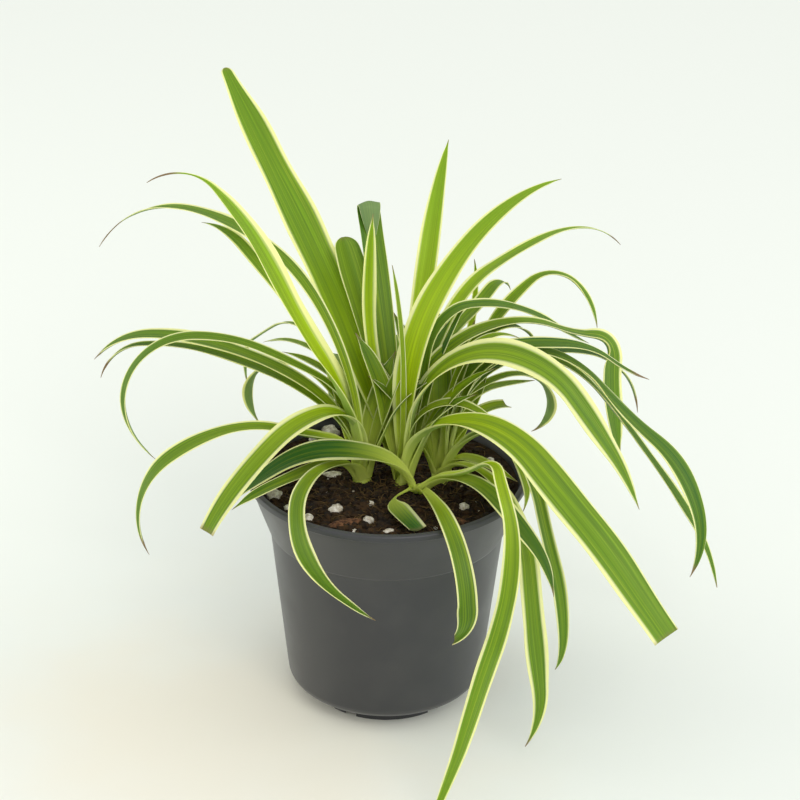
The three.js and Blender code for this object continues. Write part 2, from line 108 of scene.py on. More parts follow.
def smoothstep(value: float, low: float, high: float) -> float:
    """Returns a smooth rise from nought at low to one at high."""
    share = min(1.0, max(0.0, (value - low) / (high - low)))
    return share * share * (3 - 2 * share)


def along(values: Sequence[float], share: float) -> float:
    """Reads a list of values, given at equal steps, at a share of the way along."""
    place = share * (len(values) - 1)
    index = min(int(place), len(values) - 2)
    return values[0] if len(values) == 1 else lerp(values[index], values[index + 1], place - index)


def smoothly_along(values: Sequence[float], share: float) -> float:
    """Reads a list of values like along, but on a smooth curve through them."""
    last = len(values) - 1
    place = share * last
    index = min(int(place), last - 1)
    rest = place - index
    before, here, after, later = (values[min(last, max(0, index + i))] for i in (-1, 0, 1, 2))
    rise, next_rise = (after - before) / 2, (later - here) / 2
    cubic = 2 * here - 2 * after + rise + next_rise
    square = 3 * after - 3 * here - 2 * rise - next_rise
    return ((cubic * rest + square) * rest + rise) * rest + here


class Slot(Enum):
    """The record's material slots."""

    PLASTIC = "plastic"
    SOIL = "soil"
    SHEATH = "sheath"
    LEAF = "leaf"


class Tip(Enum):
    """How a leaf ends."""

    POINTED = "pointed"
    ROUNDED = "rounded"
    CUT = "cut"


class Shader:
    """A material's node tree, with the one function that adds to it.

    The first inputs of a Math node are its operands, those of a MixRGB node are the share and the
    two colours, and those of a MapRange node are the value, the two ends that it comes from and the
    two that it goes to.
    """

    def __init__(self, name: str) -> None:
        """Starts an empty material.

        Args:
            name: What the real material is.
        """
        self.material = bpy.data.materials.new(name)
        self.material.use_nodes = True
        self.tree = self.material.node_tree
        self.tree.nodes.clear()

    def add(self, kind: str, inputs: dict | tuple = (), **settings: object) -> bpy.types.Node:
        """Adds a node.

        Args:
            kind: The node's type without its ShaderNode prefix.
            inputs: A value, a hex colour, a socket or a node for each input: by the inputs' names
                or numbers, or in the order of its first inputs.
            **settings: The node's own settings.

        Returns:
            The new node. Given as an input, it stands for its first output.
        """
        node = self.tree.nodes.new("ShaderNode" + kind)
        for key, value in settings.items():
            setattr(node, key, value)
        for key, value in inputs.items() if isinstance(inputs, dict) else enumerate(inputs):
            if isinstance(value, str):
                value = to_linear(value)
            if isinstance(value, bpy.types.Node):
                value = value.outputs[0]
            if isinstance(value, bpy.types.NodeSocket):
                self.tree.links.new(value, node.inputs[key])
            else:
                node.inputs[key].default_value = value
        return node


# What the leaf finish reads from a mesh: the place across the leaf, from minus one to one, and
# along it, from its root and to its tip in millimetres, its look, its seed and whether it is the
# underside.
LEAF_VALUES = ("across", "run", "left", "tone", "margin", "dry", "seed", "under")


@dataclass(frozen=True)
class LeafFinish:
    """A living variegated leaf: waxy green blade, cream margins, fine lengthwise veins."""

    # Young green by the shoot, the blade's own green, and the deep green of the leaves that lie in
    # shade, which is partly their own older green and partly painted shade.
    young: str = "d2ea12"
    green: str = "9dc42a"
    deep_and_shaded: str = "45792f"
    # The pale streaks between the veins.
    streak: str = "d6e84a"
    # The underside is paler and duller.
    under: str = "a6c189"
    # The margin is pale yellow, painted near white all over: partly its own cream and partly painted
    # highlight, for how white it looks where the light falls on it.
    margin: str = "fdffcf"
    # The blanched foot of each leaf, painted lighter than it is to lift the shade among the crowded
    # leaf bases, so partly its own pale colour and partly painted light; and its dried tip.
    blanched_and_lit: str = "e8f27c"
    dried: str = "a48c68"
    # This share of the light passes through, and comes out yellower.
    through: float = 0.47
    passed: str = "fffbb0"
    roughness: float = 0.42
    ior: float = 1.4

    # How many streaks lie across half a leaf and along a millimetre of it, and how much detail
    # they have. They are hundreds of times longer than they are wide, and in a blade that is 20 mm
    # wide the veins are 0.3 mm apart.
    BROAD = (5, 0.006, 2)
    FINE = (17, 0.01, 3)
    VEINS = (34, 0.012, 1)
    VEIN_HEIGHT = 0.15
    # How many millimetres from the root each change along the leaf starts and ends.
    GROWN = (30.0, 150.0)
    HARDENED = (8.0, 62.0)
    CREAMY = (8.0, 55.0)
    BLANCHED_AND_LIT = (1.0, 44.0)
    # The dried tip's line is ragged by so many millimetres, and it fades over so many.
    RAGGED = 6.0
    FADED = 5.0

    def material(self) -> bpy.types.Material:
        """Builds the leaf material, which reads the place on the leaf from the mesh.

        Returns:
            The material.
        """
        s = Shader("variegated_leaf")
        read = {name: s.add("Attribute", attribute_name=name).outputs["Fac"]
                for name in LEAF_VALUES}

        def streaks(across: float, run: float, detail: float) -> bpy.types.Node:
            """Adds lengthwise noise with so many streaks across and so many per millimetre."""
            x = s.add("Math", (read["across"], across), operation="MULTIPLY")
            y = s.add("Math", (read["run"], run), operation="MULTIPLY")
            place = s.add("CombineXYZ", (x, y, read["seed"]))
            return s.add("TexNoise", {"Vector": place, "Scale": 1.0, "Detail": detail})

        broad, fine, veins = streaks(*self.BROAD), streaks(*self.FINE), streaks(*self.VEINS)

        # The margin's inner line wanders with the broad streaks, and fades into the green.
        side = s.add("Math", (read["across"],), operation="ABSOLUTE")
        edge = s.add("Math", (1.0, side), operation="SUBTRACT")
        shift = s.add("Math", (broad, 0.3, -0.15), operation="MULTIPLY_ADD")
        inward = s.add("Math", (edge, shift), operation="ADD")
        outer = s.add("Math", (read["margin"], 0.55), operation="MULTIPLY")
        inner = s.add("Math", (read["margin"], 1.2), operation="MULTIPLY")
        cream = s.add("MapRange", (inward, outer, inner, 1.0, 0.0), interpolation_type="SMOOTHSTEP")
        # Near the foot the margin is nearly as green as the rest.
        creamy = s.add("MapRange", (read["run"], *self.CREAMY, 0.25, 1.0))
        cream = s.add("Math", (cream, creamy), operation="MULTIPLY")

        # The green is deeper further out, deeper along some of the broad streaks, and deeper by each
        # leaf's tone, which is partly its own green and partly painted shade on the leaves that lie in shade.
        grown = s.add("MapRange", (read["run"], *self.GROWN), interpolation_type="SMOOTHSTEP")
        hardened = s.add("MapRange", (read["run"], *self.HARDENED, 0.3, 1.0))
        depth = s.add("Math", (read["tone"], hardened), operation="MULTIPLY")
        banded = s.add("Math", (broad, 0.9, -0.42), operation="MULTIPLY_ADD")
        depth = s.add("Math", (depth, banded), operation="ADD", use_clamp=True)
        colour = s.add("MixRGB", (grown, self.young, self.green))
        colour = s.add("MixRGB", (depth, colour, self.deep_and_shaded))
        # Some pale streaks and the darker veins cross the green.
        pale = s.add("MapRange", (fine, 0.5, 0.78, 0.0, 0.45), interpolation_type="SMOOTHSTEP")
        colour = s.add("MixRGB", (pale, colour, self.streak))
        dark = s.add("MapRange", (veins, 0.35, 0.65, 0.8, 1.1))
        colour = s.add("VectorMath", {0: colour, "Scale": dark}, operation="SCALE")
        dull = s.add("Math", (read["under"], 0.6), operation="MULTIPLY")
        colour = s.add("MixRGB", (dull, colour, self.under))
        colour = s.add("MixRGB", (cream, colour, self.margin))
        # The foot is blanched, and painted lighter still to lift the shade where the leaf bases crowd: partly
        # its own colour, partly painted light.
        foot = s.add("MapRange", (read["run"], *self.BLANCHED_AND_LIT, 0.85, 0.0),
                     interpolation_type="SMOOTHSTEP")
        colour = s.add("MixRGB", (foot, colour, self.blanched_and_lit))
        ragged = s.add("Math", (fine, self.RAGGED, read["left"]), operation="MULTIPLY_ADD")
        withered = s.add("Math", (read["dry"], self.FADED), operation="ADD")
        brown = s.add("MapRange", (ragged, read["dry"], withered, 1.0, 0.0))
        colour = s.add("MixRGB", (brown, colour, self.dried))

        bump = s.add("Bump", {"Height": veins, "Strength": 0.35, "Distance": self.VEIN_HEIGHT * MM})
        rough = s.add("MapRange", (broad, 0.0, 1.0, self.roughness - SMOOTHER, self.roughness + ROUGHER))
        surface = s.add("BsdfPrincipled", {"Base Color": colour, "Roughness": rough, "IOR": self.ior,
                                           "Normal": bump})
        lit = s.add("MixRGB", (1.0, colour, self.passed), blend_type="MULTIPLY")
        glow = s.add("BsdfTranslucent", {"Color": lit})
        both = s.add("MixShader", (self.through, surface, glow))
        s.add("OutputMaterial", {"Surface": both})
        return s.material


@dataclass(frozen=True)
class PlasticFinish:
    """Moulded charcoal polypropylene: satin, a little dusty, lighter where light grazes it."""

    body: str = "323335"
    worn: str = "4a4a48"
    roughness: float = 0.42
    ior: float = 1.49
    dust: float = 0.16
    dust_roughness: float = 0.4

    # The cloudy patches' size, the moulded grain's size and its height, in millimetres.
    PATCH = 22
    GRAIN = 0.7
    GRAIN_HEIGHT = 0.04

    def material(self) -> bpy.types.Material:
        """Builds the pot's material from the object's own coordinates.

        Returns:
            The material.
        """
        s = Shader("moulded_polypropylene")
        place = s.add("TexCoord").outputs["Object"]
        cloudy = s.add("TexNoise", {"Vector": place, "Scale": 1 / (self.PATCH * MM), "Detail": 4.0})
        grain = s.add("TexNoise", {"Vector": place, "Scale": 1 / (self.GRAIN * MM), "Detail": 2.0})
        worn = s.add("MapRange", (cloudy, 0.42, 0.75, 0.0, 0.35))
        colour = s.add("MixRGB", (worn, self.body, self.worn))
        rough = s.add("MapRange", (cloudy, 0.3, 0.7, self.roughness - SMOOTHER, self.roughness + ROUGHER))
        bump = s.add("Bump", {"Height": grain, "Strength": 0.25, "Distance": self.GRAIN_HEIGHT * MM})
        surface = s.add("BsdfPrincipled", {
            "Base Color": colour, "Roughness": rough, "IOR": self.ior, "Normal": bump,
            "Sheen Weight": self.dust, "Sheen Roughness": self.dust_roughness})
        s.add("OutputMaterial", {"Surface": surface})
        return s.material


@dataclass(frozen=True)
class GrainFinish:
    """A rough mineral or plant grain whose colour changes from lump to lump.

    patch is the size of the darker and lighter patches and relief their height, in millimetres.
    """

    name: str
    dark: str
    light: str
    patch: float
    roughness: float = 0.95
    ior: float = 1.4
    relief: float = 0.3

    def material(self) -> bpy.types.Material:
        """Builds the grain's material from the object's own coordinates.

        Returns:
            The material.
        """
        s = Shader(self.name)
        place = s.add("TexCoord").outputs["Object"]
        patches = s.add("TexNoise", {"Vector": place, "Scale": 1 / (self.patch * MM), "Detail": 5.0,
                                     "Roughness": 0.65})
        share = s.add("MapRange", (patches, 0.36, 0.68), interpolation_type="SMOOTHSTEP")
        colour = s.add("MixRGB", (share, self.dark, self.light))
        bump = s.add("Bump", {"Height": patches, "Strength": 0.6, "Distance": self.relief * MM})
        surface = s.add("BsdfPrincipled", {"Base Color": colour, "Roughness": self.roughness,
                                           "IOR": self.ior, "Normal": bump})
        s.add("OutputMaterial", {"Surface": surface})
        return s.material


def write_mesh(bm: bmesh.types.BMesh, name: str) -> bpy.types.Object:
    """Writes a bmesh as an object of the scene and frees it."""
    mesh = bpy.data.meshes.new(name)
    bm.to_mesh(mesh)
    bm.free()
    piece = bpy.data.objects.new(name, mesh)
    bpy.context.scene.collection.objects.link(piece)
    return piece


def write_piece(bm: bmesh.types.BMesh, name: str, material: bpy.types.Material) -> bpy.types.Object:
    """Writes a bmesh worked in millimetres as an object in metres.

    Args:
        bm: The piece's mesh, which is freed.
        name: The piece's name.
        material: Its finish.

    Returns:
        The new object.
    """
    bmesh.ops.scale(bm, vec=Vector((MM, MM, MM)), verts=bm.verts)
    piece = write_mesh(bm, name)
    piece.data.materials.append(material)
    log.info("%s: %d faces", name, len(piece.data.polygons))
    return piece


def settle(bm: bmesh.types.BMesh, name: str, material: bpy.types.Material, slot: Slot, crease: float,
           nodes: Iterable[str] = ()) -> None:
    """Finishes a closed piece, with its faces pointing out, and places it in the shared frame.

    Args:
        bm: The piece's mesh, which is freed.
        name: The piece's name.
        material: Its finish.
        slot: The record's slot that its finish comes from; it is not used.
        crease: Edges that turn by more than so many degrees stay sharp.
        nodes: The CAD nodes that it stands for.
    """
    bmesh.ops.recalc_face_normals(bm, faces=bm.faces)
    for face in bm.faces:
        face.smooth = True
    for edge in bm.edges:
        edge.smooth = len(edge.link_faces) == 2 and edge.calc_face_angle(0) < math.radians(crease)
    piece = write_piece(bm, name, material)
    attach(piece, "root")
    if nodes:
        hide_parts(*nodes)


def absorb(bm: bmesh.types.BMesh, part: bmesh.types.BMesh) -> None:
    """Adds a small bmesh to a large one and frees it, which is far quicker than growing the large one."""
    mesh = bpy.data.meshes.new("part")
    part.to_mesh(mesh)
    part.free()
    bm.from_mesh(mesh)
    bpy.data.meshes.remove(mesh)


@dataclass(frozen=True)
class Shoot:
    """One of the plant's shoots: where it stands in the soil and how thick its base is."""

    x: float
    y: float
    radius: float


SHOOTS = {
    "left": Shoot(-12, 2, 5),
    "middle": Shoot(7, -1, 4),
    "right": Shoot(25, 6, 6),
    "front": Shoot(15, -9, 3.5),
}


@dataclass(frozen=True)
class Station:
    """A place on a leaf's centre line, with its share of the way along."""

    centre: Vector
    side: Vector
    face: Vector
    share: float


@dataclass(frozen=True)
class Crease:
    """Where a leaf is folded over, in millimetres from its root, and how far it turns and twists there.

    A leaf whose crease has a turn of nought isn't folded.
    """

    at: float
    turn: float
    twist: float = 0.0
    span: float = 9.0


@dataclass(frozen=True)
class LeafLook:
    """What sets one leaf's colours and edges apart.

    tone runs from nought, young yellow-green, to one, deep green, and above one the leaf is deep
    green nearer its root; the deeper tones are partly the leaves' own older green and partly painted
    shade on the leaves that lie in shade. margin is the cream edge's share of half the width. dry is
    how many millimetres of the tip have dried. wave is how far the edges wave in millimetres. lean
    makes the margin wider by that share on the side where across is one, and narrower on the other.
    """

    tone: float = 0.5
    margin: float = 0.24
    dry: float = 3.0
    wave: float = 0.35
    tip: Tip = Tip.POINTED
    lean: float = 0.0


def leaf_layers(bm: bmesh.types.BMesh) -> dict[str, object]:
    """Returns the values that the leaf finish reads from each corner, added where they are missing."""
    stored = bm.verts.layers.float
    for name in LEAF_VALUES:
        if name not in stored:
            stored.new(name)
    return {name: stored[name] for name in LEAF_VALUES}


@dataclass(frozen=True)
class Leaf:
    """A leaf: its sheath, which is its first stretch and belongs to its shoot, and its blade.

    The widths in millimetres and the headings and pitches in degrees are each given at equal steps
    from root to tip. A heading of 0 is right, 90 away, 180 left and 270 to the viewer, and a pitch of
    90 is straight up. The leaf turns round its own centre line by its twist from root to tip.
    """

    name: str
    shoot: str
    length: float
    sheath: float
    width: tuple[float, ...]
    heading: tuple[float, ...]
    pitch: tuple[float, ...]
    twist: float = 0.0
    crease: Crease = Crease(0, 0)
    look: LeafLook = LeafLook()
    seed: float = 0.0

    # The root is this far from its shoot's middle and above the soil.
    ROOT_OFFSET = 2.5
    ROOT_RISE = 2.5
    LEAST_WIDTH = 0.9
    # Each half rises from the keel by so many degrees at the root, and by fewer from this share on.
    ROOT_FOLD = 38
    BLADE_FOLD = 13
    UNFOLDED_SHARE = 0.45
    # The mesh: its columns, and how far apart its rows are in a plain and in a folded leaf.
    ACROSS = 12
    STEP = 2.2
    CREASED_STEP = 0.9
    LEAST_ROWS = 4
    # How much closer the blade's rows stand towards the tip.
    CROWD = 1.5
    # A pointed tip narrows to a share of its width over this length, and a rounded one over its
    # own half width, down to the root of a small share that keeps it closed.
    POINT = 9.0
    POINT_WIDTH = 0.2
    POINT_CURVE = 0.7
    ROUND_END = 0.02
    # The keel is rounded over this share of half the width.
    KEEL = 0.28
    MIDDLE_THICKNESS = 0.62
    EDGE_THICKNESS = 0.3
    ROOT_THICKNESS = 0.9
    ROOT_SHARE = 0.2
    # The edges' waves are this long. They start at one share of the leaf's length and are full from
    # the next, one edge lags the other, and a half that is narrower than the last value waves less.
    WAVE_LENGTH = 46.0
    WAVE_START = 0.15
    WAVE_FULL = 0.5
    WAVE_PHASE = 1.9
    WAVE_WIDTH = 5
    # The foot is at least this wide to each side, less and less up to the shorter of this length
    # and this many sheaths.
    CLASP = 4.6
    CLASP_LENGTH = 48.0
    CLASP_SHEATHS = 1.2

    def fold(self, share: float) -> float:
        """Returns how steeply each half of the leaf rises from its keel, in radians."""
        unfolded = smoothstep(share, 0, self.UNFOLDED_SHARE)
        return math.radians(lerp(self.ROOT_FOLD, self.BLADE_FOLD, unfolded))

    def spine(self) -> list[Station]:
        """Walks the centre line in steps of about a millimetre.

        Returns:
            The stations from root to tip.
        """
        shoot, crease = SHOOTS[self.shoot], self.crease
        first = math.radians(self.heading[0])
        point = Vector((shoot.x + self.ROOT_OFFSET * math.cos(first),
                        shoot.y + self.ROOT_OFFSET * math.sin(first), SOIL_LEVEL + self.ROOT_RISE))
        steps = round(self.length)
        stations = []
        for i in range(steps + 1):
            share = i / steps
            folded = smoothstep(share * self.length, crease.at, crease.at + crease.span)
            heading = math.radians(along(self.heading, share))
            pitch = math.radians(along(self.pitch, share) + crease.turn * folded)
            twist = math.radians(self.twist * share + crease.twist * folded)
            level = Vector((math.cos(heading), math.sin(heading), 0))
            forward = level * math.cos(pitch) + UP * math.sin(pitch)
            side = Vector((math.sin(heading), -math.cos(heading), 0))
            face = side.cross(forward)
            stations.append(Station(point.copy(), side * math.cos(twist) + face * math.sin(twist),
                                    face * math.cos(twist) - side * math.sin(twist), share))
            point = point + forward * self.length / steps
        return stations

    def listed_half(self, share: float) -> float:
        """Returns half the listed width at a share of the length."""
        return max(self.LEAST_WIDTH, smoothly_along(self.width, share)) / 2

    def half_width(self, run: float, share: float) -> float:
        """Returns half the width, with the foot wide enough to clasp the shoot and the tip narrowed."""
        reach = min(self.CLASP_LENGTH, self.CLASP_SHEATHS * self.sheath)
        clasp = self.CLASP * (1 - smoothstep(run, 0, reach))
        return max(clasp, self.listed_half(share)) * self.narrowed(run)

    def narrowed(self, run: float) -> float:
        """Returns what share of the listed width is left near the tip."""
        left = max(0.0, self.length - run)
        if self.look.tip is Tip.POINTED:
            return lerp(self.POINT_WIDTH, 1.0, min(1.0, left / self.POINT) ** self.POINT_CURVE)
        if self.look.tip is Tip.ROUNDED:
            gone = max(0.0, 1 - left / self.listed_half(1.0))
            return math.sqrt(max(self.ROUND_END, 1 - gone ** 2))
        return 1.0

    def surface(self, stations: list[Station], run: float, across: float, below: float) -> Vector:
        """Finds a point of the leaf.

        Args:
            stations: The leaf's centre line.
            run: How far along, in millimetres.
            across: How far across, from minus one to one.
            below: Nought for the upper face, one for the lower.

        Returns:
            The point.
        """
        place = min(run / self.length, 1.0) * (len(stations) - 1)
        index = min(int(place), len(stations) - 2)
        here, after, rest = stations[index], stations[index + 1], place - index
        share = lerp(here.share, after.share, rest)
        side = here.side.lerp(after.side, rest).normalized()
        face = here.face.lerp(after.face, rest).normalized()
        fold, half = self.fold(share), self.half_width(run, share)
        rise = (math.hypot(across, self.KEEL) - self.KEEL) / (math.hypot(1, self.KEEL) - self.KEEL)
        lift = (rise - 0.5) * half * math.sin(fold)
        lag = self.WAVE_PHASE if across > 0 else 0
        phase = 2 * math.pi * (run / self.WAVE_LENGTH + self.seed) + lag
        calm = smoothstep(share, self.WAVE_START, self.WAVE_FULL) * min(1.0, half / self.WAVE_WIDTH)
        lift += self.look.wave * calm * abs(across) ** 3 * math.sin(phase)
        blade = lerp(self.MIDDLE_THICKNESS, self.EDGE_THICKNESS, across ** 2)
        thickness = lerp(self.ROOT_THICKNESS, blade, smoothstep(share, 0, self.ROOT_SHARE)) * min(1.0, half)
        centre = here.centre.lerp(after.centre, rest)
        return centre + side * across * half * math.cos(fold) + face * (lift - below * thickness)

    def strip(self, bm: bmesh.types.BMesh, start: float, end: float, crowd: float = 1.0) -> None:
        """Adds a closed stretch of the leaf to a bmesh.

        Args:
            bm: The mesh that it goes into.
            start: Where the stretch starts, in millimetres from the root.
            end: Where it ends.
            crowd: How much closer its rows stand towards the end; one is even.
        """
        step = self.CREASED_STEP if self.crease.turn else self.STEP
        rows = max(self.LEAST_ROWS, round((end - start) / step))
        layers = leaf_layers(bm)
        sheet = bmesh.ops.create_grid(bm, x_segments=self.ACROSS, y_segments=rows, size=1)["verts"]
        for vert in sheet:
            share = 1 - (0.5 - vert.co.y / 2) ** crowd
            run = lerp(start, end, share)
            margin = self.look.margin * (1 + self.look.lean * vert.co.x)
            values = (vert.co.x, run, self.length - run, self.look.tone, margin, self.look.dry,
                      self.seed, 0.0)
            for layer, value in zip(layers.values(), values):
                vert[layer] = value
        faces = list(dict.fromkeys(face for vert in sheet for face in vert.link_faces))
        thick = bmesh.ops.extrude_face_region(bm, geom=faces)["geom"]
        lower = [vert for vert in thick if isinstance(vert, bmesh.types.BMVert)]
        stations = self.spine()
        for verts, below in ((sheet, 0.0), (lower, 1.0)):
            for vert in verts:
                vert[layers["under"]] = below
                vert.co = self.surface(stations, vert[layers["run"]], vert[layers["across"]], below)

    def build(self, material: bpy.types.Material) -> None:
        """Builds the blade beyond the sheath."""
        bm = bmesh.new()
        self.strip(bm, self.sheath, self.length, self.CROWD)
        settle(bm, self.name, material, Slot.LEAF, LEAF_EDGE, [f"leaf_{self.name}"])


@dataclass(frozen=True)
class Crown:
    """A shoot's base with the sheaths of its leaves. Its short inner leaves are all sheath."""

    name: str
    shoot: Shoot
    leaves: tuple[Leaf, ...]

    # The base goes this deep into the soil and rises this high over it, where it is narrower.
    DEPTH = 12
    RISE = 4
    NECK = -0.5
    SHOULDER = 3
    TAPER = 0.6
    SIDES = 40
    ROUNDING = 1.8
    # The base has the colour of a leaf so many millimetres from its root.
    GREENED = 16.0
    TONE = 0.25

    def build(self, material: bpy.types.Material) -> None:
        """Builds the base and every sheath as one piece."""
        radius = self.shoot.radius
        outline = ((0, SOIL_LEVEL - self.DEPTH), (radius * self.TAPER, SOIL_LEVEL - self.DEPTH),
                   (radius, SOIL_LEVEL - self.SHOULDER), (radius, SOIL_LEVEL + self.NECK),
                   (radius * self.TAPER, SOIL_LEVEL + self.RISE), (0, SOIL_LEVEL + self.RISE))
        bm = turned(outline, self.SIDES, self.ROUNDING)
        bmesh.ops.translate(bm, vec=Vector((self.shoot.x, self.shoot.y, 0)), verts=bm.verts)
        layers = leaf_layers(bm)
        for vert in bm.verts:
            vert[layers["run"]], vert[layers["left"]] = self.GREENED, self.GREENED
            vert[layers["tone"]] = self.TONE
        for leaf in self.leaves:
            leaf.strip(bm, 0, leaf.sheath)
        settle(bm, f"shoot_{self.name}", material, Slot.SHEATH, LEAF_EDGE, [f"crown_{self.name}"])


def turned(outline: Sequence[tuple[float, float]], sides: int, rounding: float = 0.0) -> bmesh.types.BMesh:
    """Turns an outline round the upright axis.

    Args:
        outline: Radius and height of each corner, the first and last on the axis.
        sides: How many steps the full turn has.
        rounding: How far each corner is rounded back along its edges.

    Returns:
        The closed solid.
    """
    bm = bmesh.new()
    verts = [bm.verts.new((radius, 0, height)) for radius, height in outline]
    for first, second in zip(verts, verts[1:]):
        bm.edges.new((first, second))
    if rounding:
        bmesh.ops.bevel(bm, geom=verts[1:-1], offset=rounding, offset_type="OFFSET", segments=3,
                        profile=0.5, affect="VERTICES", material=-1, clamp_overlap=True)
    bmesh.ops.spin(bm, geom=bm.verts[:] + bm.edges[:], axis=UP, cent=Vector(), angle=2 * math.pi,
                   steps=sides, use_merge=True)
    bmesh.ops.remove_doubles(bm, verts=bm.verts, dist=TOUCHING)
    bmesh.ops.recalc_face_normals(bm, faces=bm.faces)
    return bm


@dataclass(frozen=True)
class Pot:
    """A thin tapered pot with a flared band, a turned lip and a notched foot."""

    rim_radius: float = 65
    height: float = 115
    lip_height: float = 3
    lip_overhang: float = 1.2
    lip_edge: float = 0.6
    band_bottom: float = 87
    band_radius: float = 55.2
    band_step: float = 0.8
    wall: float = 1.4
    corner: float = 7
    corner_radius: float = 46.3
    ledge: float = 7
    foot_radius: float = 34
    notch_inner: float = 24
    notch_angle: float = 30
    notch_turn: float = -38
    notches: int = 4
    drain_radius: float = 3.5

    SIDES = 160
    CORNER_STEPS = 6
    DRAIN_SIDES = 32
    ROUNDING = 0.45
    # Cutters reach this far past what they cut.
    MARGIN = 1.0
    # Corners that a cut leaves closer together than this are joined.
    WELD = 1e-3

    def outline(self, inset: float, top: float) -> list[tuple[float, float]]:
        """Returns the outside's outline, or the inside's when it is set in by the wall.

        Args:
            inset: How far the outline is set in.
            top: The height of its last corner.

        Returns:
            Radius and height of each corner from the middle of the foot up.
        """
        foot = self.foot_radius - inset
        middle = self.corner_radius - self.corner
        corner = self.corner - inset
        points = [(0.0, inset), (foot, inset), (foot, self.ledge + inset)]
        for step in range(self.CORNER_STEPS + 1):
            turn = math.radians(90 * step / self.CORNER_STEPS - 90)
            height = self.ledge + self.corner + corner * math.sin(turn)
            points.append((middle + corner * math.cos(turn), height))
        points += [(self.band_radius - self.band_step - inset, self.band_bottom),
                   (self.band_radius - inset, self.band_bottom + self.band_step),
                   (self.rim_radius - self.lip_overhang - inset, top)]
        return points

    def wedge(self, turn: float, grow: float) -> bpy.types.Object:
        """Makes the cutter of one notch.

        Args:
            turn: The notch's direction in degrees.
            grow: How much larger it is all round, for the inside.

        Returns:
            A scratch object.
        """
        half = math.radians(self.notch_angle / 2)
        bm = bmesh.new()
        corners = bmesh.ops.create_cube(bm, size=2)["verts"]
        for vert in corners:
            reach = self.foot_radius + self.MARGIN if vert.co.x > 0 else self.notch_inner - grow
            wide = reach * math.sin(half) + grow
            top = self.ledge + grow if vert.co.z > 0 else -self.MARGIN
            vert.co = Vector((reach * math.cos(half), math.copysign(wide, vert.co.y), top))
        bmesh.ops.rotate(bm, cent=Vector(), matrix=Matrix.Rotation(math.radians(turn), 3, "Z"), verts=corners)
        return write_mesh(bm, "scratch")

    def drain(self, turn: float) -> bpy.types.Object:
        """Makes the cutter of the drain hole over one notch, three walls long."""
        bm = bmesh.new()
        reach = (self.notch_inner + self.foot_radius) / 2
        place = Matrix.Rotation(math.radians(turn), 4, "Z") @ Matrix.Translation(
            (reach, 0, self.ledge + self.wall / 2))
        bmesh.ops.create_cone(bm, cap_ends=True, segments=self.DRAIN_SIDES, radius1=self.drain_radius,
                              radius2=self.drain_radius, depth=3 * self.wall, matrix=place)
        return write_mesh(bm, "scratch")

    def build(self, material: bpy.types.Material) -> None:
        """Turns the outside and the inside, cuts the notches and drains, and hollows the pot."""
        turns = [self.notch_turn + 360 * i / self.notches for i in range(self.notches)]
        outside = self.outline(0, self.height - self.lip_height)
        outside += [(self.rim_radius, self.height - self.lip_height),
                    (self.rim_radius, self.height - self.lip_edge),
                    (self.rim_radius - self.lip_edge, self.height), (0.0, self.height)]
        inside = self.outline(self.wall, self.height - self.lip_height)
        inner_radius = self.rim_radius - self.lip_overhang - self.wall
        inside += [(inner_radius, self.height + self.MARGIN), (0.0, self.height + self.MARGIN)]
        body = write_mesh(turned(outside, self.SIDES, self.ROUNDING), "scratch")
        hollow = write_mesh(turned(inside, self.SIDES, self.ROUNDING), "scratch")
        for turn in turns:
            cut(body, self.wedge(turn, 0))
            cut(hollow, self.wedge(turn, self.wall))
        cut(body, hollow)
        for turn in turns:
            cut(body, self.drain(turn))
        bm = bmesh.new()
        bm.from_mesh(body.data)
        discard(body)
        bmesh.ops.remove_doubles(bm, verts=bm.verts, dist=self.WELD)
        settle(bm, "nursery_pot", material, Slot.PLASTIC, PLASTIC_EDGE, ["pot"])


def discard(piece: bpy.types.Object) -> None:
    """Removes a scratch object and its mesh."""
    mesh = piece.data
    bpy.data.objects.remove(piece)
    bpy.data.meshes.remove(mesh)


def cut(piece: bpy.types.Object, tool: bpy.types.Object) -> None:
    """Cuts one scratch object out of another and uses the tool up."""
    modifier = piece.modifiers.new("cut", "BOOLEAN")
    modifier.operation = "DIFFERENCE"
    modifier.solver = "EXACT"
    modifier.object = tool
    bpy.context.view_layer.update()
    result = bpy.data.meshes.new_from_object(piece.evaluated_get(bpy.context.evaluated_depsgraph_get()))
    piece.modifiers.clear()
    old, piece.data = piece.data, result
    bpy.data.meshes.remove(old)
    discard(tool)


@dataclass(frozen=True)
class Lump:
    """A lump that lies on the soil: where its middle is, its size, how long it is and which way."""

    x: float
    y: float
    size: float
    stretch: float = 1.0
    turn: float = 0.0


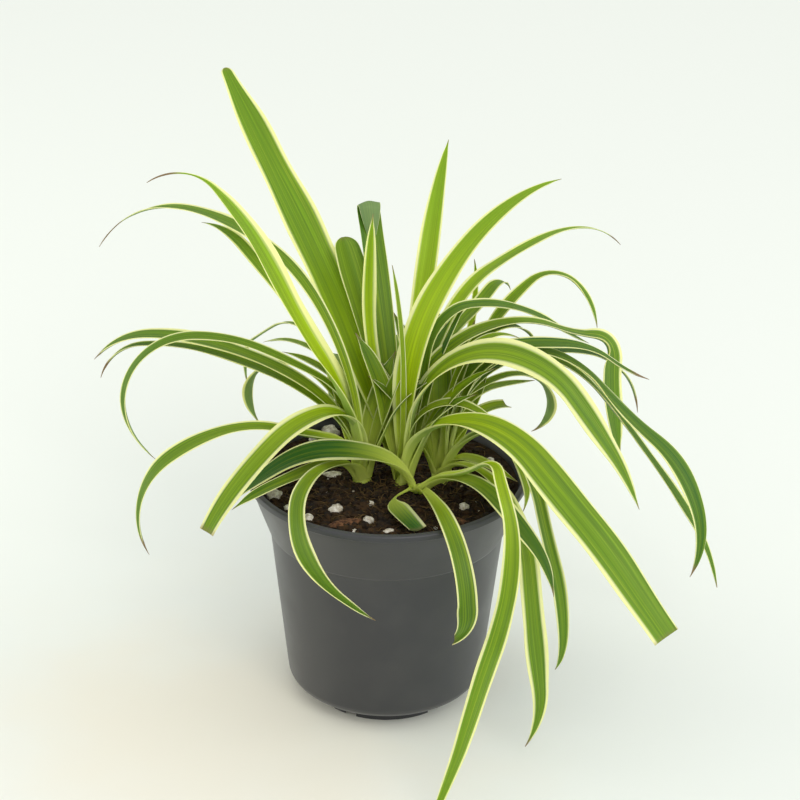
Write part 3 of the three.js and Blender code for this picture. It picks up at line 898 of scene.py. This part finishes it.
@dataclass(frozen=True)
class Soil:
    """The potting mix: a plug of peat, and the crumbs, fibres, perlite and bark on it."""

    pot: Pot
    clearance: float = 0.3
    ring_step: float = 0.75
    crumbs: int = 2200
    fibres: int = 520
    chips: int = 46

    SIDES = 230
    # Sets of waves make the low lumps: how far apart, in which turn, and how high. They fade to
    # nothing from this share of the radius to the wall.
    LUMPS = ((32, 12, 0.7), (30, 98, 0.7), (16, 51, 0.4))
    FADE_FROM = 0.75
    # Noise makes the crumbs: how far apart, how high, its three settings, and the share of their
    # height that is left at the wall.
    CRUMB_SIZE = 5.5
    CRUMB_HEIGHT = 1.1
    CRUMB_NOISE = (0.8, 2.1, 4)
    CRUMB_LEFT = 0.35
    # Flat bits break the top up: how wide and how high.
    BIT_SIZE = 2.4
    BIT_HEIGHT = 0.25
    # Noise this fine dents the lumps, and their middle is over the soil by a share of their height.
    # Most of the scattered ones are small, and none is closer to the wall than the gap.
    DENTS = 1.7
    RAISED = 0.35
    SMALLNESS = 2.2
    WALL_GAP = 0.5
    # The fibres: their steps, length, bend in radians, lift off the soil and radius.
    FIBRE_STEPS = 7
    FIBRE_SIDES = 5
    FIBRE_LENGTH = (5, 15)
    FIBRE_BEND = (-0.9, 0.9)
    FIBRE_LIFT = (0.2, 1.6)
    FIBRE_RADIUS = (0.12, 0.26)
    PERLITE = (
        Lump(-51.6, -16.6, 3.6), Lump(-35.4, -36.2, 2.6), Lump(-23, -29.2, 2.7, 1.3, 30),
        Lump(-7.7, -22.1, 1.9), Lump(-8.3, -37.3, 2.5), Lump(1.7, -49.2, 2, 1.9, 20),
        Lump(-25.7, 2.9, 2, 2.4, 0), Lump(-27.8, 48, 4.2), Lump(-35.4, 39.6, 2.6), Lump(-45, -28, 1.7),
        Lump(-14, -49, 1.6), Lump(35, -25, 2.2), Lump(47, -8, 2.4), Lump(30, 38, 2.9), Lump(48, 22, 2),
        Lump(-47, 20, 2.3), Lump(8, 47, 2.6), Lump(-5, 31, 1.8),
    )
    BARK = (Lump(-18.6, -41.4, 3.4, 2.3, 25), Lump(34, -36, 3, 2.4, 140), Lump(-44, 4, 3.2, 2.1, 70),
            Lump(20, 45, 3.4, 2.2, 160), Lump(48, 8, 2.6, 2.5, 100))

    @property
    def top_radius(self) -> float:
        """The radius of the soil's top."""
        flare = self.pot.height - self.pot.lip_height - self.pot.band_bottom
        share = (SOIL_LEVEL - self.pot.band_bottom) / flare
        wall = lerp(self.pot.band_radius, self.pot.rim_radius - self.pot.lip_overhang, share)
        return wall - self.pot.wall - 2 * self.clearance

    def height(self, x: float, y: float) -> float:
        """Returns the height of the soil's top: low lumps, smaller crumbs, and flat at the wall."""
        relief = 0.0
        for length, turn, height in self.LUMPS:
            angle = math.radians(turn)
            run = x * math.cos(angle) + y * math.sin(angle)
            relief += height * math.sin(2 * math.pi * run / length)
        fade = 1 - smoothstep(math.hypot(x, y), self.top_radius * self.FADE_FROM, self.top_radius)
        spot = Vector((x, y, 0))
        crumb = noise.fractal(spot / self.CRUMB_SIZE, *self.CRUMB_NOISE) * self.CRUMB_HEIGHT
        bit = noise.cell_vector(spot / self.BIT_SIZE).x * self.BIT_HEIGHT
        return SOIL_LEVEL + relief * fade + crumb * min(1.0, fade + self.CRUMB_LEFT) + bit

    def plug(self, material: bpy.types.Material) -> None:
        """Builds the plug with its crumbly top."""
        outline = self.pot.outline(self.pot.wall + self.clearance, SOIL_LEVEL)[:-1]
        rings = round(self.top_radius / self.ring_step)
        outline += [(self.top_radius * ring / rings, SOIL_LEVEL) for ring in range(rings, -1, -1)]
        bm = turned(outline, self.SIDES)
        inside = self.top_radius - 0.1
        for vert in bm.verts:
            if abs(vert.co.z - SOIL_LEVEL) < TOUCHING and vert.co.to_2d().length < inside:
                vert.co.z = self.height(vert.co.x, vert.co.y)
        settle(bm, "potting_mix", material, Slot.SOIL, PLUG_EDGE, ["soil"])

    def lumps(self, name: str, places: Iterable[Lump], material: bpy.types.Material, rough: float,
              flat: float, detail: int) -> None:
        """Builds lumps that lie half sunk in the soil's top, as one piece.

        Args:
            name: The piece's name.
            places: The lumps.
            material: Their finish.
            rough: How rough they are, as a share of their size.
            flat: How tall they are, as a share of their size.
            detail: How often the starting ball is divided.
        """
        bm = bmesh.new()
        for lump in places:
            ball = bmesh.new()
            bmesh.ops.create_icosphere(ball, subdivisions=detail, radius=1)
            for vert in ball.verts:
                dent = noise.noise_vector(vert.co * self.DENTS + Vector((lump.x, lump.y, lump.size)))
                vert.co += dent * rough
            size = Vector((lump.size * lump.stretch, lump.size, lump.size * flat))
            base = self.height(lump.x, lump.y) + lump.size * flat * self.RAISED
            place = Matrix.LocRotScale(Vector((lump.x, lump.y, base)),
                                       Euler((0, 0, math.radians(lump.turn))), size)
            bmesh.ops.transform(ball, matrix=place, verts=ball.verts)
            absorb(bm, ball)
        settle(bm, name, material, Slot.SOIL, GRAIN_EDGE)

    def scattered(self, dice: random.Random, count: int, sizes: tuple[float, float],
                  stretch: float) -> list[Lump]:
        """Scatters lumps evenly over the soil's top.

        Args:
            dice: The seeded source of chance.
            count: How many.
            sizes: The smallest and largest size.
            stretch: The longest, as a multiple of its width.

        Returns:
            The lumps.
        """
        lumps = []
        for _ in range(count):
            size = lerp(*sizes, dice.random() ** self.SMALLNESS)
            reach = (self.top_radius - size * stretch - self.WALL_GAP) * math.sqrt(dice.random())
            turn = dice.uniform(0, 2 * math.pi)
            lumps.append(Lump(reach * math.cos(turn), reach * math.sin(turn), size,
                              dice.uniform(1, stretch), dice.uniform(0, 360)))
        return lumps

    def strands(self, dice: random.Random, material: bpy.types.Material) -> None:
        """Builds the coir fibres, thin bent strands that lie on the soil's top, as one piece."""
        bm = bmesh.new()
        for _ in range(self.fibres):
            length = dice.uniform(*self.FIBRE_LENGTH)
            reach = (self.top_radius - length - 1) * math.sqrt(dice.random())
            spot, turn = dice.uniform(0, 2 * math.pi), dice.uniform(0, 2 * math.pi)
            x, y = reach * math.cos(spot), reach * math.sin(spot)
            bend, lift = dice.uniform(*self.FIBRE_BEND), dice.uniform(*self.FIBRE_LIFT)
            radius = dice.uniform(*self.FIBRE_RADIUS)
            strand = bmesh.new()
            ring = bmesh.ops.create_circle(strand, cap_ends=True, segments=self.FIBRE_SIDES,
                                           radius=radius)["verts"]
            place = Matrix.Translation((x, y, self.height(x, y))) @ Matrix.Rotation(turn, 4, "Z")
            bmesh.ops.transform(strand, matrix=place @ Matrix.Rotation(math.pi / 2, 4, "Y"), verts=ring)
            face = ring[0].link_faces[0]
            for step in range(1, self.FIBRE_STEPS + 1):
                share = step / self.FIBRE_STEPS
                turn += bend / self.FIBRE_STEPS
                x += math.cos(turn) * length / self.FIBRE_STEPS
                y += math.sin(turn) * length / self.FIBRE_STEPS
                grown = bmesh.ops.extrude_face_region(strand, geom=[face])["geom"]
                face = next(item for item in grown if isinstance(item, bmesh.types.BMFace))
                target = Vector((x, y, self.height(x, y) + lift * math.sin(math.pi * share) + radius))
                bmesh.ops.translate(strand, vec=target - face.calc_center_median(), verts=face.verts)
                bmesh.ops.rotate(strand, cent=target, verts=face.verts,
                                 matrix=Matrix.Rotation(bend / self.FIBRE_STEPS, 3, "Z"))
            absorb(bm, strand)
        settle(bm, "coir_fibres", material, Slot.SOIL, GRAIN_EDGE)


@dataclass(frozen=True)
class Studio:
    """The pale floor, the soft light round the plant and the camera."""

    focal: float = 116.9
    eye: tuple[float, float, float] = (5.3, -1064.4, 667.4)
    down: float = 25.9
    roll: float = 0.8
    floor: str = "e9eee7"
    # The colour of a warm painted shadow on the floor at the left of the pot's front.
    painted_shadow: str = "ece9da"
    sky: str = "fafafa"
    sky_strength: float = 0.86

    SENSOR = 36
    FLOOR_REACH = 4000
    # The lights point at this place in the plant, in metres.
    AIM = (0, 0, 0.12)
    # The floor has a warm painted shadow round this place, in metres, up to about the first
    # distance, and has its own colour from the second on. Clouds of the next size, in millimetres,
    # shift that line.
    SHADOW_PLACE = (-0.07, -0.05, 0.0)
    SHADOW_RANGE = (0.1, 0.26)
    CLOUD = 90
    CLOUD_SHIFT = 0.16

    def camera(self) -> None:
        """Sets the camera at the photograph's angle."""
        down, roll = math.radians(self.down), math.radians(self.roll)
        forward = Vector((0, math.cos(down), -math.sin(down)))
        level = Vector((1, 0, 0))
        above = level.cross(forward)
        right = level * math.cos(roll) + above * math.sin(roll)
        up = above * math.cos(roll) - level * math.sin(roll)
        data = bpy.data.cameras.new("camera")
        data.lens = self.focal
        data.sensor_width = self.SENSOR
        data.clip_end = 20
        camera = bpy.data.objects.new("camera", data)
        place = Matrix((right, up, -forward)).transposed().to_4x4()
        place.translation = Vector(self.eye) * MM
        camera.matrix_world = place
        bpy.context.scene.collection.objects.link(camera)
        bpy.context.scene.camera = camera

    def light(self, name: str, kind: str, place: tuple, size: float, power: float, colour: str) -> None:
        """Adds a soft light that points at the plant.

        Args:
            name: Its name.
            kind: AREA, or SUN for one that is far off.
            place: Where it stands, in metres.
            size: Its side in metres, or its angle in degrees for a far one.
            power: Its power in watts, or in watts a square metre.
            colour: Its colour.
        """
        data = bpy.data.lights.new(name, kind)
        data.energy, data.color = power, to_linear(colour)[:3]
        if kind == "SUN":
            data.angle = math.radians(size)
        else:
            data.size = size
        lamp = bpy.data.objects.new(name, data)
        aim = Vector(self.AIM) - Vector(place)
        lamp.matrix_world = Matrix.Translation(place) @ aim.to_track_quat("-Z", "Y").to_matrix().to_4x4()
        bpy.context.scene.collection.objects.link(lamp)

    def ground(self) -> None:
        """Adds the floor: a pale sheet with a warm painted shadow at the left of the pot's front."""
        bm = bmesh.new()
        bmesh.ops.create_grid(bm, x_segments=8, y_segments=8, size=self.FLOOR_REACH)
        s = Shader("pale_floor")
        place = s.add("TexCoord").outputs["Object"]
        aside = s.add("VectorMath", (place, self.SHADOW_PLACE), operation="SUBTRACT")
        reach = s.add("VectorMath", (aside,), operation="LENGTH").outputs["Value"]
        cloud = s.add("TexNoise", {"Vector": place, "Scale": 1 / (self.CLOUD * MM), "Detail": 3.0})
        wide = s.add("Math", (cloud, self.CLOUD_SHIFT, reach), operation="MULTIPLY_ADD")
        far = s.add("MapRange", (wide, *self.SHADOW_RANGE), interpolation_type="SMOOTHSTEP")
        colour = s.add("MixRGB", (far, self.painted_shadow, self.floor))
        surface = s.add("BsdfPrincipled", {"Base Color": colour, "Roughness": 0.9})
        s.add("OutputMaterial", {"Surface": surface})
        floor = write_piece(bm, "floor", s.material)
        floor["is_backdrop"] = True

    def build(self) -> None:
        """Sets up the camera, the floor and the lights."""
        self.camera()
        self.ground()
        world = bpy.data.worlds.new("studio")
        world.use_nodes = True
        back = world.node_tree.nodes["Background"]
        back.inputs["Color"].default_value = to_linear(self.sky)
        back.inputs["Strength"].default_value = self.sky_strength
        bpy.context.scene.world = world
        self.light("over", "SUN", (0.45, -1.2, 1.15), 35, 1.05, "fffdf8")
        self.light("left", "AREA", (-1.1, 0.1, 0.35), 0.7, 3.6, "fffff4")
        self.light("right", "AREA", (1.2, -0.1, 0.5), 0.7, 3.6, "f4f8ff")
        bpy.context.scene.view_settings.view_transform = "Standard"


# Every leaf: its name, shoot, length and sheath length, then its widths, headings and pitches.
# Each look's tone deepens the green of the leaves that lie in shade: partly their own darker green, partly
# painted shade.
LEAVES = (
    Leaf("tall_left", "middle", 220, 57, (7.5, 14, 19.5, 19.5, 20, 20, 17, 15, 6), (124,),
         (61, 46, 38, 39), look=LeafLook(0.35, 0.22, 0, 0.5, Tip.ROUNDED)),
    Leaf("light_left", "left", 195, 46, (8.5, 15, 20, 21, 20, 17, 10, 1.5, 1), (191,),
         (100, 72, 59, 66, 62, 48, -35), twist=42, look=LeafLook(0, 0.32, 14, lean=0.8)),
    Leaf("upper_left_arc", "left", 252, 29, (5, 5.5, 6, 7, 8.5, 9.5, 7, 1.5, 1), (139,),
         (99, 72, 48, 14, -3, -28, -56), look=LeafLook(0.5, 0.26, 26)),
    Leaf("upper_left_short", "left", 156, 45, (4.5, 5, 5.5, 6.5, 7, 7.5, 7, 1), (138,),
         (99, 70, 38, 35, 32, -14), look=LeafLook(0.3, 0.28, 3)),
    Leaf("left_arc_upper", "left", 165, 53, (5.5, 7, 9, 9.5, 11, 12, 11.5, 1.5), (165,),
         (99, 47, 21, 9, -8, -56), look=LeafLook(0.6, 0.22, 6)),
    Leaf("left_arc_lower", "left", 164, 38, (5, 6, 7.5, 8.5, 7, 6.5, 4.5, 1.5), (163,),
         (98, 39, 18, 7, -11, -77), look=LeafLook(0.6, 0.24, 12)),
    Leaf("left_loop", "left", 203, 48, (4.5, 5.5, 6, 6.5, 6.5, 6, 6.5, 6.5, 1.5), (182,),
         (98, 75, 31, 24, 0, -49, -99, -141), twist=24, look=LeafLook(0.6, 0.22, 4)),
    Leaf("left_low_arc", "left", 163, 18, (5.5, 8, 10, 9.5, 11, 10.5, 5.5, 1.5), (203,),
         (100, 20, 21, -6, -31, -80, -119), look=LeafLook(0.55, 0.24, 10)),
    Leaf("back_left_short", "left", 108, 45, (3.5, 4, 4, 4.5, 4.5, 4, 3.5, 1), (132,),
         (99, 61, -1, -32)),
    Leaf("back_left_small", "left", 86, 46, (3.5, 4, 4.5, 4.5, 4.5, 1), (135,), (100, 70, 8, -13)),
    Leaf("back_left_thin", "left", 180, 44, (3.5, 3, 3, 3.5, 3, 2.5, 3, 1.5), (120,),
         (98, 61, 20, -7, -34, -37, -119)),
    Leaf("back_left_curl", "left", 124, 54, (4, 4.5, 4.5, 5, 5, 5, 7.5, 1.5), (143,),
         (97, 64, 26, -15, -62, -149)),
    Leaf("left_cut", "left", 130, 38, (6.5, 9.5, 11.5, 12.5, 12.5, 12, 10.5, 8.5), (218,),
         (112, 66, 0, -31, -41, -56), twist=15, look=LeafLook(0.45, 0.36, 1, tip=Tip.CUT, lean=-0.3)),
    Leaf("front_left_dark", "front", 97, 12, (6.5, 14, 16.5, 15, 10.5, 1.5), (191,),
         (71, 22, 1, -30, -47), twist=15, look=LeafLook(1.2, 0.26, 2, lean=-0.6)),
    Leaf("front_left_low", "left", 82, 29, (5, 6.5, 8.5, 8.5, 6.5, 1), (224,), (64, 0, 0, -17),
         look=LeafLook(0.75, 0.14, 2)),
    Leaf("front_curl", "left", 134, 31, (4, 6.5, 7, 7.5, 8, 11, 8, 1.5),
         (255, 229, 240, 250, 283, 329, 361, 366), (71, 19, 8, -20, -50, -49, -40, -34),
         look=LeafLook(0.7, 0.24, 4)),
    Leaf("front_short", "front", 48, 8, (3, 2, 1.5, 1.5, 9.5, 10.5, 10, 9),
         (238, 236, 234, 288, 297, 298, 298), (34, 4, 2, -3, -5, -4),
         look=LeafLook(1.3, 0.26, 0, tip=Tip.CUT, lean=-0.5)),
    Leaf("front_folded", "front", 107, 12, (4, 5, 6.5, 8, 9, 9.5, 9.5, 9),
         (273, 287, 286, 292, 290, 291, 172), (37, 10, 5, -26, -51, -83, -35),
         look=LeafLook(0.75, 0.2, 0, tip=Tip.CUT)),
    Leaf("front_long", "front", 231, 12, (3.5, 5.5, 5.5, 7, 9, 10.5, 10, 6, 2.5),
         (305, 320, 318, 275, 297, 263, 238, 231, 230, 231, 245, 265),
         (62, 21, 40, -9, -59, -75, -67, -60, -63, -63, -33, 18), look=LeafLook(0.25, 0.26, 3)),
    Leaf("front_right_arc", "front", 105, 12, (5, 7.5, 10, 10.5, 10.5, 9.5, 6, 1), (313,),
         (48, 19, -24, -34, -80), look=LeafLook(0.85, 0.2, 4)),
    Leaf("front_right_long", "right", 174, 18, (3.5, 5, 7, 10, 12, 12.5, 7.5, 2),
         (290, 316, 298, 306, 306, 287, 190), (60, 1, -34, -79, -80, -68, -59),
         look=LeafLook(0.5, 0.34, 4)),
    Leaf("right_narrow", "right", 46, 18, (5.5, 7.5, 7.5, 6.5, 5, 1.5), (327,), (87, 13, -14, -17)),
    Leaf("right_small", "right", 87, 50, (4.5, 5, 6, 6.5, 7, 1.5), (323,), (81, 52, 32, -46, -72, -116),
         look=LeafLook(0.3, 0.3)),
    Leaf("right_hanging", "right", 172, 51, (4.5, 5.5, 6.5, 7, 7.5, 7.5, 5.5, 1),
         (321, 321, 318, 310, 301, 293, 288), (79, 44, -38, -69, -61, -80, -133)),
    Leaf("right_broad_cut", "middle", 193, 23, (6.5, 11, 12, 16, 18.5, 18.5, 18, 16, 14), (324,),
         (98, 42, 2, -39, -38, -45, -45), twist=-25, look=LeafLook(0.35, 0.2, 0, tip=Tip.CUT, lean=0.5)),
    Leaf("right_arch", "middle", 195, 66, (6, 9.5, 13, 16, 18, 16.5, 14.5, 8.5, 1), (351,),
         (97, 80, 39, -13, -53, -57, -70), twist=-35, look=LeafLook(0.42, 0.4, 3, lean=0.3)),
    Leaf("right_bent", "middle", 226, 70, (5.5, 7.5, 9, 9.5, 9, 11, 15, 15, 4),
         (35, 32, 30, 29, 29, 29, 29), (97, 81, 34, -1, -28, -14, 3, 7),
         crease=Crease(150, -84, -66, 26), look=LeafLook(0.55, 0.2, 3)),
    Leaf("right_upper_arch", "middle", 188, 69, (4.5, 5, 5.5, 6, 6.5, 7, 6, 1), (30, 46),
         (88, 77, 82, -7, -27, -37, -33), twist=-30, look=LeafLook(0.75, 0.2)),
    Leaf("right_tall", "middle", 181, 44, (7.5, 12.5, 16.5, 16, 13.5, 10, 6, 1), (41,),
         (98, 85, 53, 27, -4), twist=-10, look=LeafLook(0.05, 0.22, 2)),
    Leaf("upright", "middle", 171, 46, (4, 5.5, 7.5, 9, 10.5, 9.5, 6, 1), (79,), (93, 48, 50, 23),
         look=LeafLook(0.0, 0.22, 2)),
    Leaf("right_light", "middle", 228, 69, (4, 6, 7.5, 8, 7.5, 6.5, 4.5, 1.5, 1), (51,),
         (95, 66, 47, 7, 1, -18, -45), look=LeafLook(0.1, 0.3, 14)),
    Leaf("right_thin_upright", "right", 108, 23, (3.5, 3, 3, 3.5, 3.5, 3.5, 2.5, 1), (73,),
         (92, 34, 50, 121), look=LeafLook(0.1, 0.26)),
    Leaf("back_right_bent", "middle", 128, 25, (4, 4.5, 5, 5.5, 6, 7.5, 7, 1), (55,),
         (82, 71, 62, 32, 14, 25, -70)),
    Leaf("back_right_arch", "right", 155, 47, (4, 4.5, 5, 5.5, 7.5, 5.5, 7, 1.5),
         (53, 53, 53, 52, 37, 2, -38), (95, 63, 53, 30, 27, -45, -82)),
    Leaf("back_right_droop", "right", 109, 51, (4.5, 5.5, 6, 7, 8, 8.5, 6.5, 1.5), (36,),
         (97, 79, 66, -5, -70)),
    Leaf("back_right_slim", "right", 90, 32, (4, 5, 5.5, 6, 6, 1.5), (18,), (98, 85, 59, -38)),
    Leaf("right_dark_upper", "right", 153, 51, (4.5, 5.5, 7.5, 9.5, 9.5, 8, 5, 1.5), (18,),
         (97, 82, 57, -1, -10, -40, -26), twist=-12, look=LeafLook(0.8, 0.2, 10)),
    Leaf("right_dark_lower", "right", 170, 56, (4.5, 6, 8, 9.5, 9.5, 7, 4, 1.5), (34,),
         (95, 68, 19, -10, -21, -48, -86), twist=-12, look=LeafLook(0.9, 0.18, 10)),
    Leaf("far_right_inner", "right", 244, 56, (5, 5.5, 7, 8, 8.5, 8.5, 8, 6, 1.5),
         (22, 24, 22, 14, 2, -13, -28), (91, 62, -20, -52, -55, -56, -78), twist=-15,
         look=LeafLook(0.6, 0.24, 3)),
    Leaf("far_right_outer", "right", 239, 57, (5, 5.5, 7, 8, 9.5, 11, 12, 7.5, 1),
         (18, 21, 18, 8, -12, -37, -57), (86, 69, -11, -53, -39, -69, -119), twist=-15,
         look=LeafLook(0.7, 0.2, 8, lean=0.6)),
    Leaf("right_curl", "right", 120, 51, (4, 4.5, 5, 5.5, 5.5, 6.5, 8, 1.5), (32,),
         (91, 96, 23, 7, -29, -79, -180), look=LeafLook(0.5, 0.24, 5)),
    Leaf("right_short_cut", "right", 50, 26, (5, 6, 7.5, 9, 9, 8.5), (28,), (99, 39, -15),
         look=LeafLook(0.6, 0.24, 0, tip=Tip.CUT)),
    Leaf("right_short", "right", 77, 40, (4, 5, 5.5, 6.5, 6, 1.5), (35,), (98, 62, -4, -12)),
    Leaf("right_low_arch", "middle", 78, 40, (5, 6.5, 8, 9, 7.5, 1.5), (357,), (85, 93, 35, -23, -47)),
    Leaf("young_spear", "middle", 61, 48, (4.5, 6.5, 8.5, 9.5, 7, 1), (108,), (56, 41, 33),
         look=LeafLook(0.3, 0.26)),
    Leaf("bent_over", "middle", 155, 58, (4.5, 6, 7.5, 9.5, 11, 11, 10.5, 1), (105,),
         (71, 60, 58, 53, 54, 73), crease=Crease(125, 190), look=LeafLook(0.65, 0.05)),
    Leaf("centre_spear", "middle", 128, 60, (4, 5, 5.5, 6.5, 7, 7.5, 6, 1), (121,), (66, 61, 90, 99),
         look=LeafLook(0.1, 0.44)),
    Leaf("back_left_broad", "middle", 117, 58, (4.5, 5.5, 7, 9, 11, 13.5, 14.5, 12), (115,),
         (78, 52, 50, 46), look=LeafLook(0.45, 0.1, 0, tip=Tip.ROUNDED)),
    Leaf("centre_thin", "middle", 104, 30, (3.5, 3, 3, 3, 2.5, 2.5, 2, 1), (106,), (97, 86, 44)),
    Leaf("centre_dried", "middle", 96, 59, (3.5, 3.5, 3.5, 3.5, 3.5, 1), (115,), (54, 43, 42, 73)),
    Leaf("rear_right", "right", 150, 18, (6, 9, 13.5, 13.5, 10.5, 6, 1), (80,), (75, 32, -12, -55, -78)),
    Leaf("rear_middle", "middle", 145, 30, (6, 9, 13.5, 13.5, 10.5, 6, 1), (94,),
         (52, 30, 13, -52, -85)),
    Leaf("rear_left", "left", 145, 18, (5.5, 8.5, 12.5, 12.5, 10, 5.5, 1), (100,),
         (75, 33, -14, -58, -80)),
)

# Each leaf's waves and streaks start so much further on than those of the leaf before it.
SEED_STEP = 0.37

# How many short inner leaves fill each shoot, and the headings that they lie between.
INNER = {"left": (5, -20, 140), "middle": (6, -30, 150), "right": (6, 20, 190), "front": (0, 0, 0)}
# Their widths, and the ranges of their length, their first pitch, how far the next one and the
# last one are below it, their tone and their seed.
INNER_WIDTHS = (7, 10, 12, 11, 8, 1.5)
INNER_LENGTH = (52, 88)
INNER_START = (68, 86)
INNER_BEND = 12
INNER_DROOP = (25, 60)
# The inner leaves' tone is deeper than the outer leaves', which is painted shade for the thicket between the
# shoots.
INNER_TONE_AND_SHADE = (0.4, 0.9)
INNER_SEED = (0, 9)
# Their cream margin is narrow, which is painted shade for the thicket between the shoots.
INNER_SHADED_MARGIN = 0.12


def inner_leaves(dice: random.Random, shoot: str) -> Iterable[Leaf]:
    """Makes the short young leaves that fill a shoot between its large ones.

    Args:
        dice: The seeded source of chance.
        shoot: The shoot's name.

    Yields:
        The leaves.
    """
    count, low, high = INNER[shoot]
    for i in range(count):
        heading = lerp(low, high, (i + dice.uniform(0.2, 0.8)) / count)
        length = dice.uniform(*INNER_LENGTH)
        start = dice.uniform(*INNER_START)
        pitches = (start, start - INNER_BEND, start - dice.uniform(*INNER_DROOP))
        look = LeafLook(dice.uniform(*INNER_TONE_AND_SHADE), INNER_SHADED_MARGIN)
        yield Leaf(f"inner_{shoot}_{i}", shoot, length, length, INNER_WIDTHS, (heading,), pitches,
                   look=look, seed=dice.uniform(*INNER_SEED))


def main() -> None:
    """Builds the studio, the pot, the soil, the shoots and the leaves, in that order."""
    logging.basicConfig(level=logging.INFO, format="%(relativeCreated)6d ms  %(message)s")
    dice = random.Random(SEED)
    noise.seed_set(SEED)
    Studio().build()
    pot = Pot()
    pot.build(PlasticFinish().material())
    soil = Soil(pot)
    # Damp peat is nearly black, with dull brown crumbs.
    peat = GrainFinish("peat_and_coir", "140c04", "3e2a10", 4).material()
    # Coir is a matt brown thread that pales to straw.
    coir = GrainFinish("coir_fibre", "2c1c0c", "6b5530", 6, relief=0.05).material()
    # Expanded perlite is chalky and off-white, greyer where it is damp.
    perlite = GrainFinish("perlite", "a9a08c", "e4e0d4", 2, relief=0.15).material()
    # Composted bark is a dull red-brown.
    bark = GrainFinish("pine_bark", "3a2415", "7b5436", 1.5).material()
    soil.plug(peat)
    crumbs = soil.scattered(dice, soil.crumbs, sizes=(0.5, 1.9), stretch=2.2)
    soil.lumps("peat_crumbs", crumbs, peat, rough=0.55, flat=0.75, detail=2)
    soil.strands(dice, coir)
    specks = soil.scattered(dice, soil.chips, sizes=(0.5, 1.3), stretch=1.3)
    soil.lumps("perlite_grains", [*soil.PERLITE, *specks], perlite, rough=0.35, flat=0.8, detail=3)
    soil.lumps("bark_chips", soil.BARK, bark, rough=0.25, flat=0.4, detail=3)
    green = LeafFinish().material()
    leaves = [replace(leaf, seed=round(SEED_STEP * i, 2)) for i, leaf in enumerate(LEAVES)]
    for name, shoot in SHOOTS.items():
        own = (leaf for leaf in leaves if leaf.shoot == name)
        Crown(name, shoot, (*own, *inner_leaves(dice, name))).build(green)
    for leaf in leaves:
        leaf.build(green)


if __name__ == "__main__":
    main()
    sizes = {"loaded": first_bounds, "built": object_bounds()}
    {name: [list(corner) for corner in box] for name, box in sizes.items()}
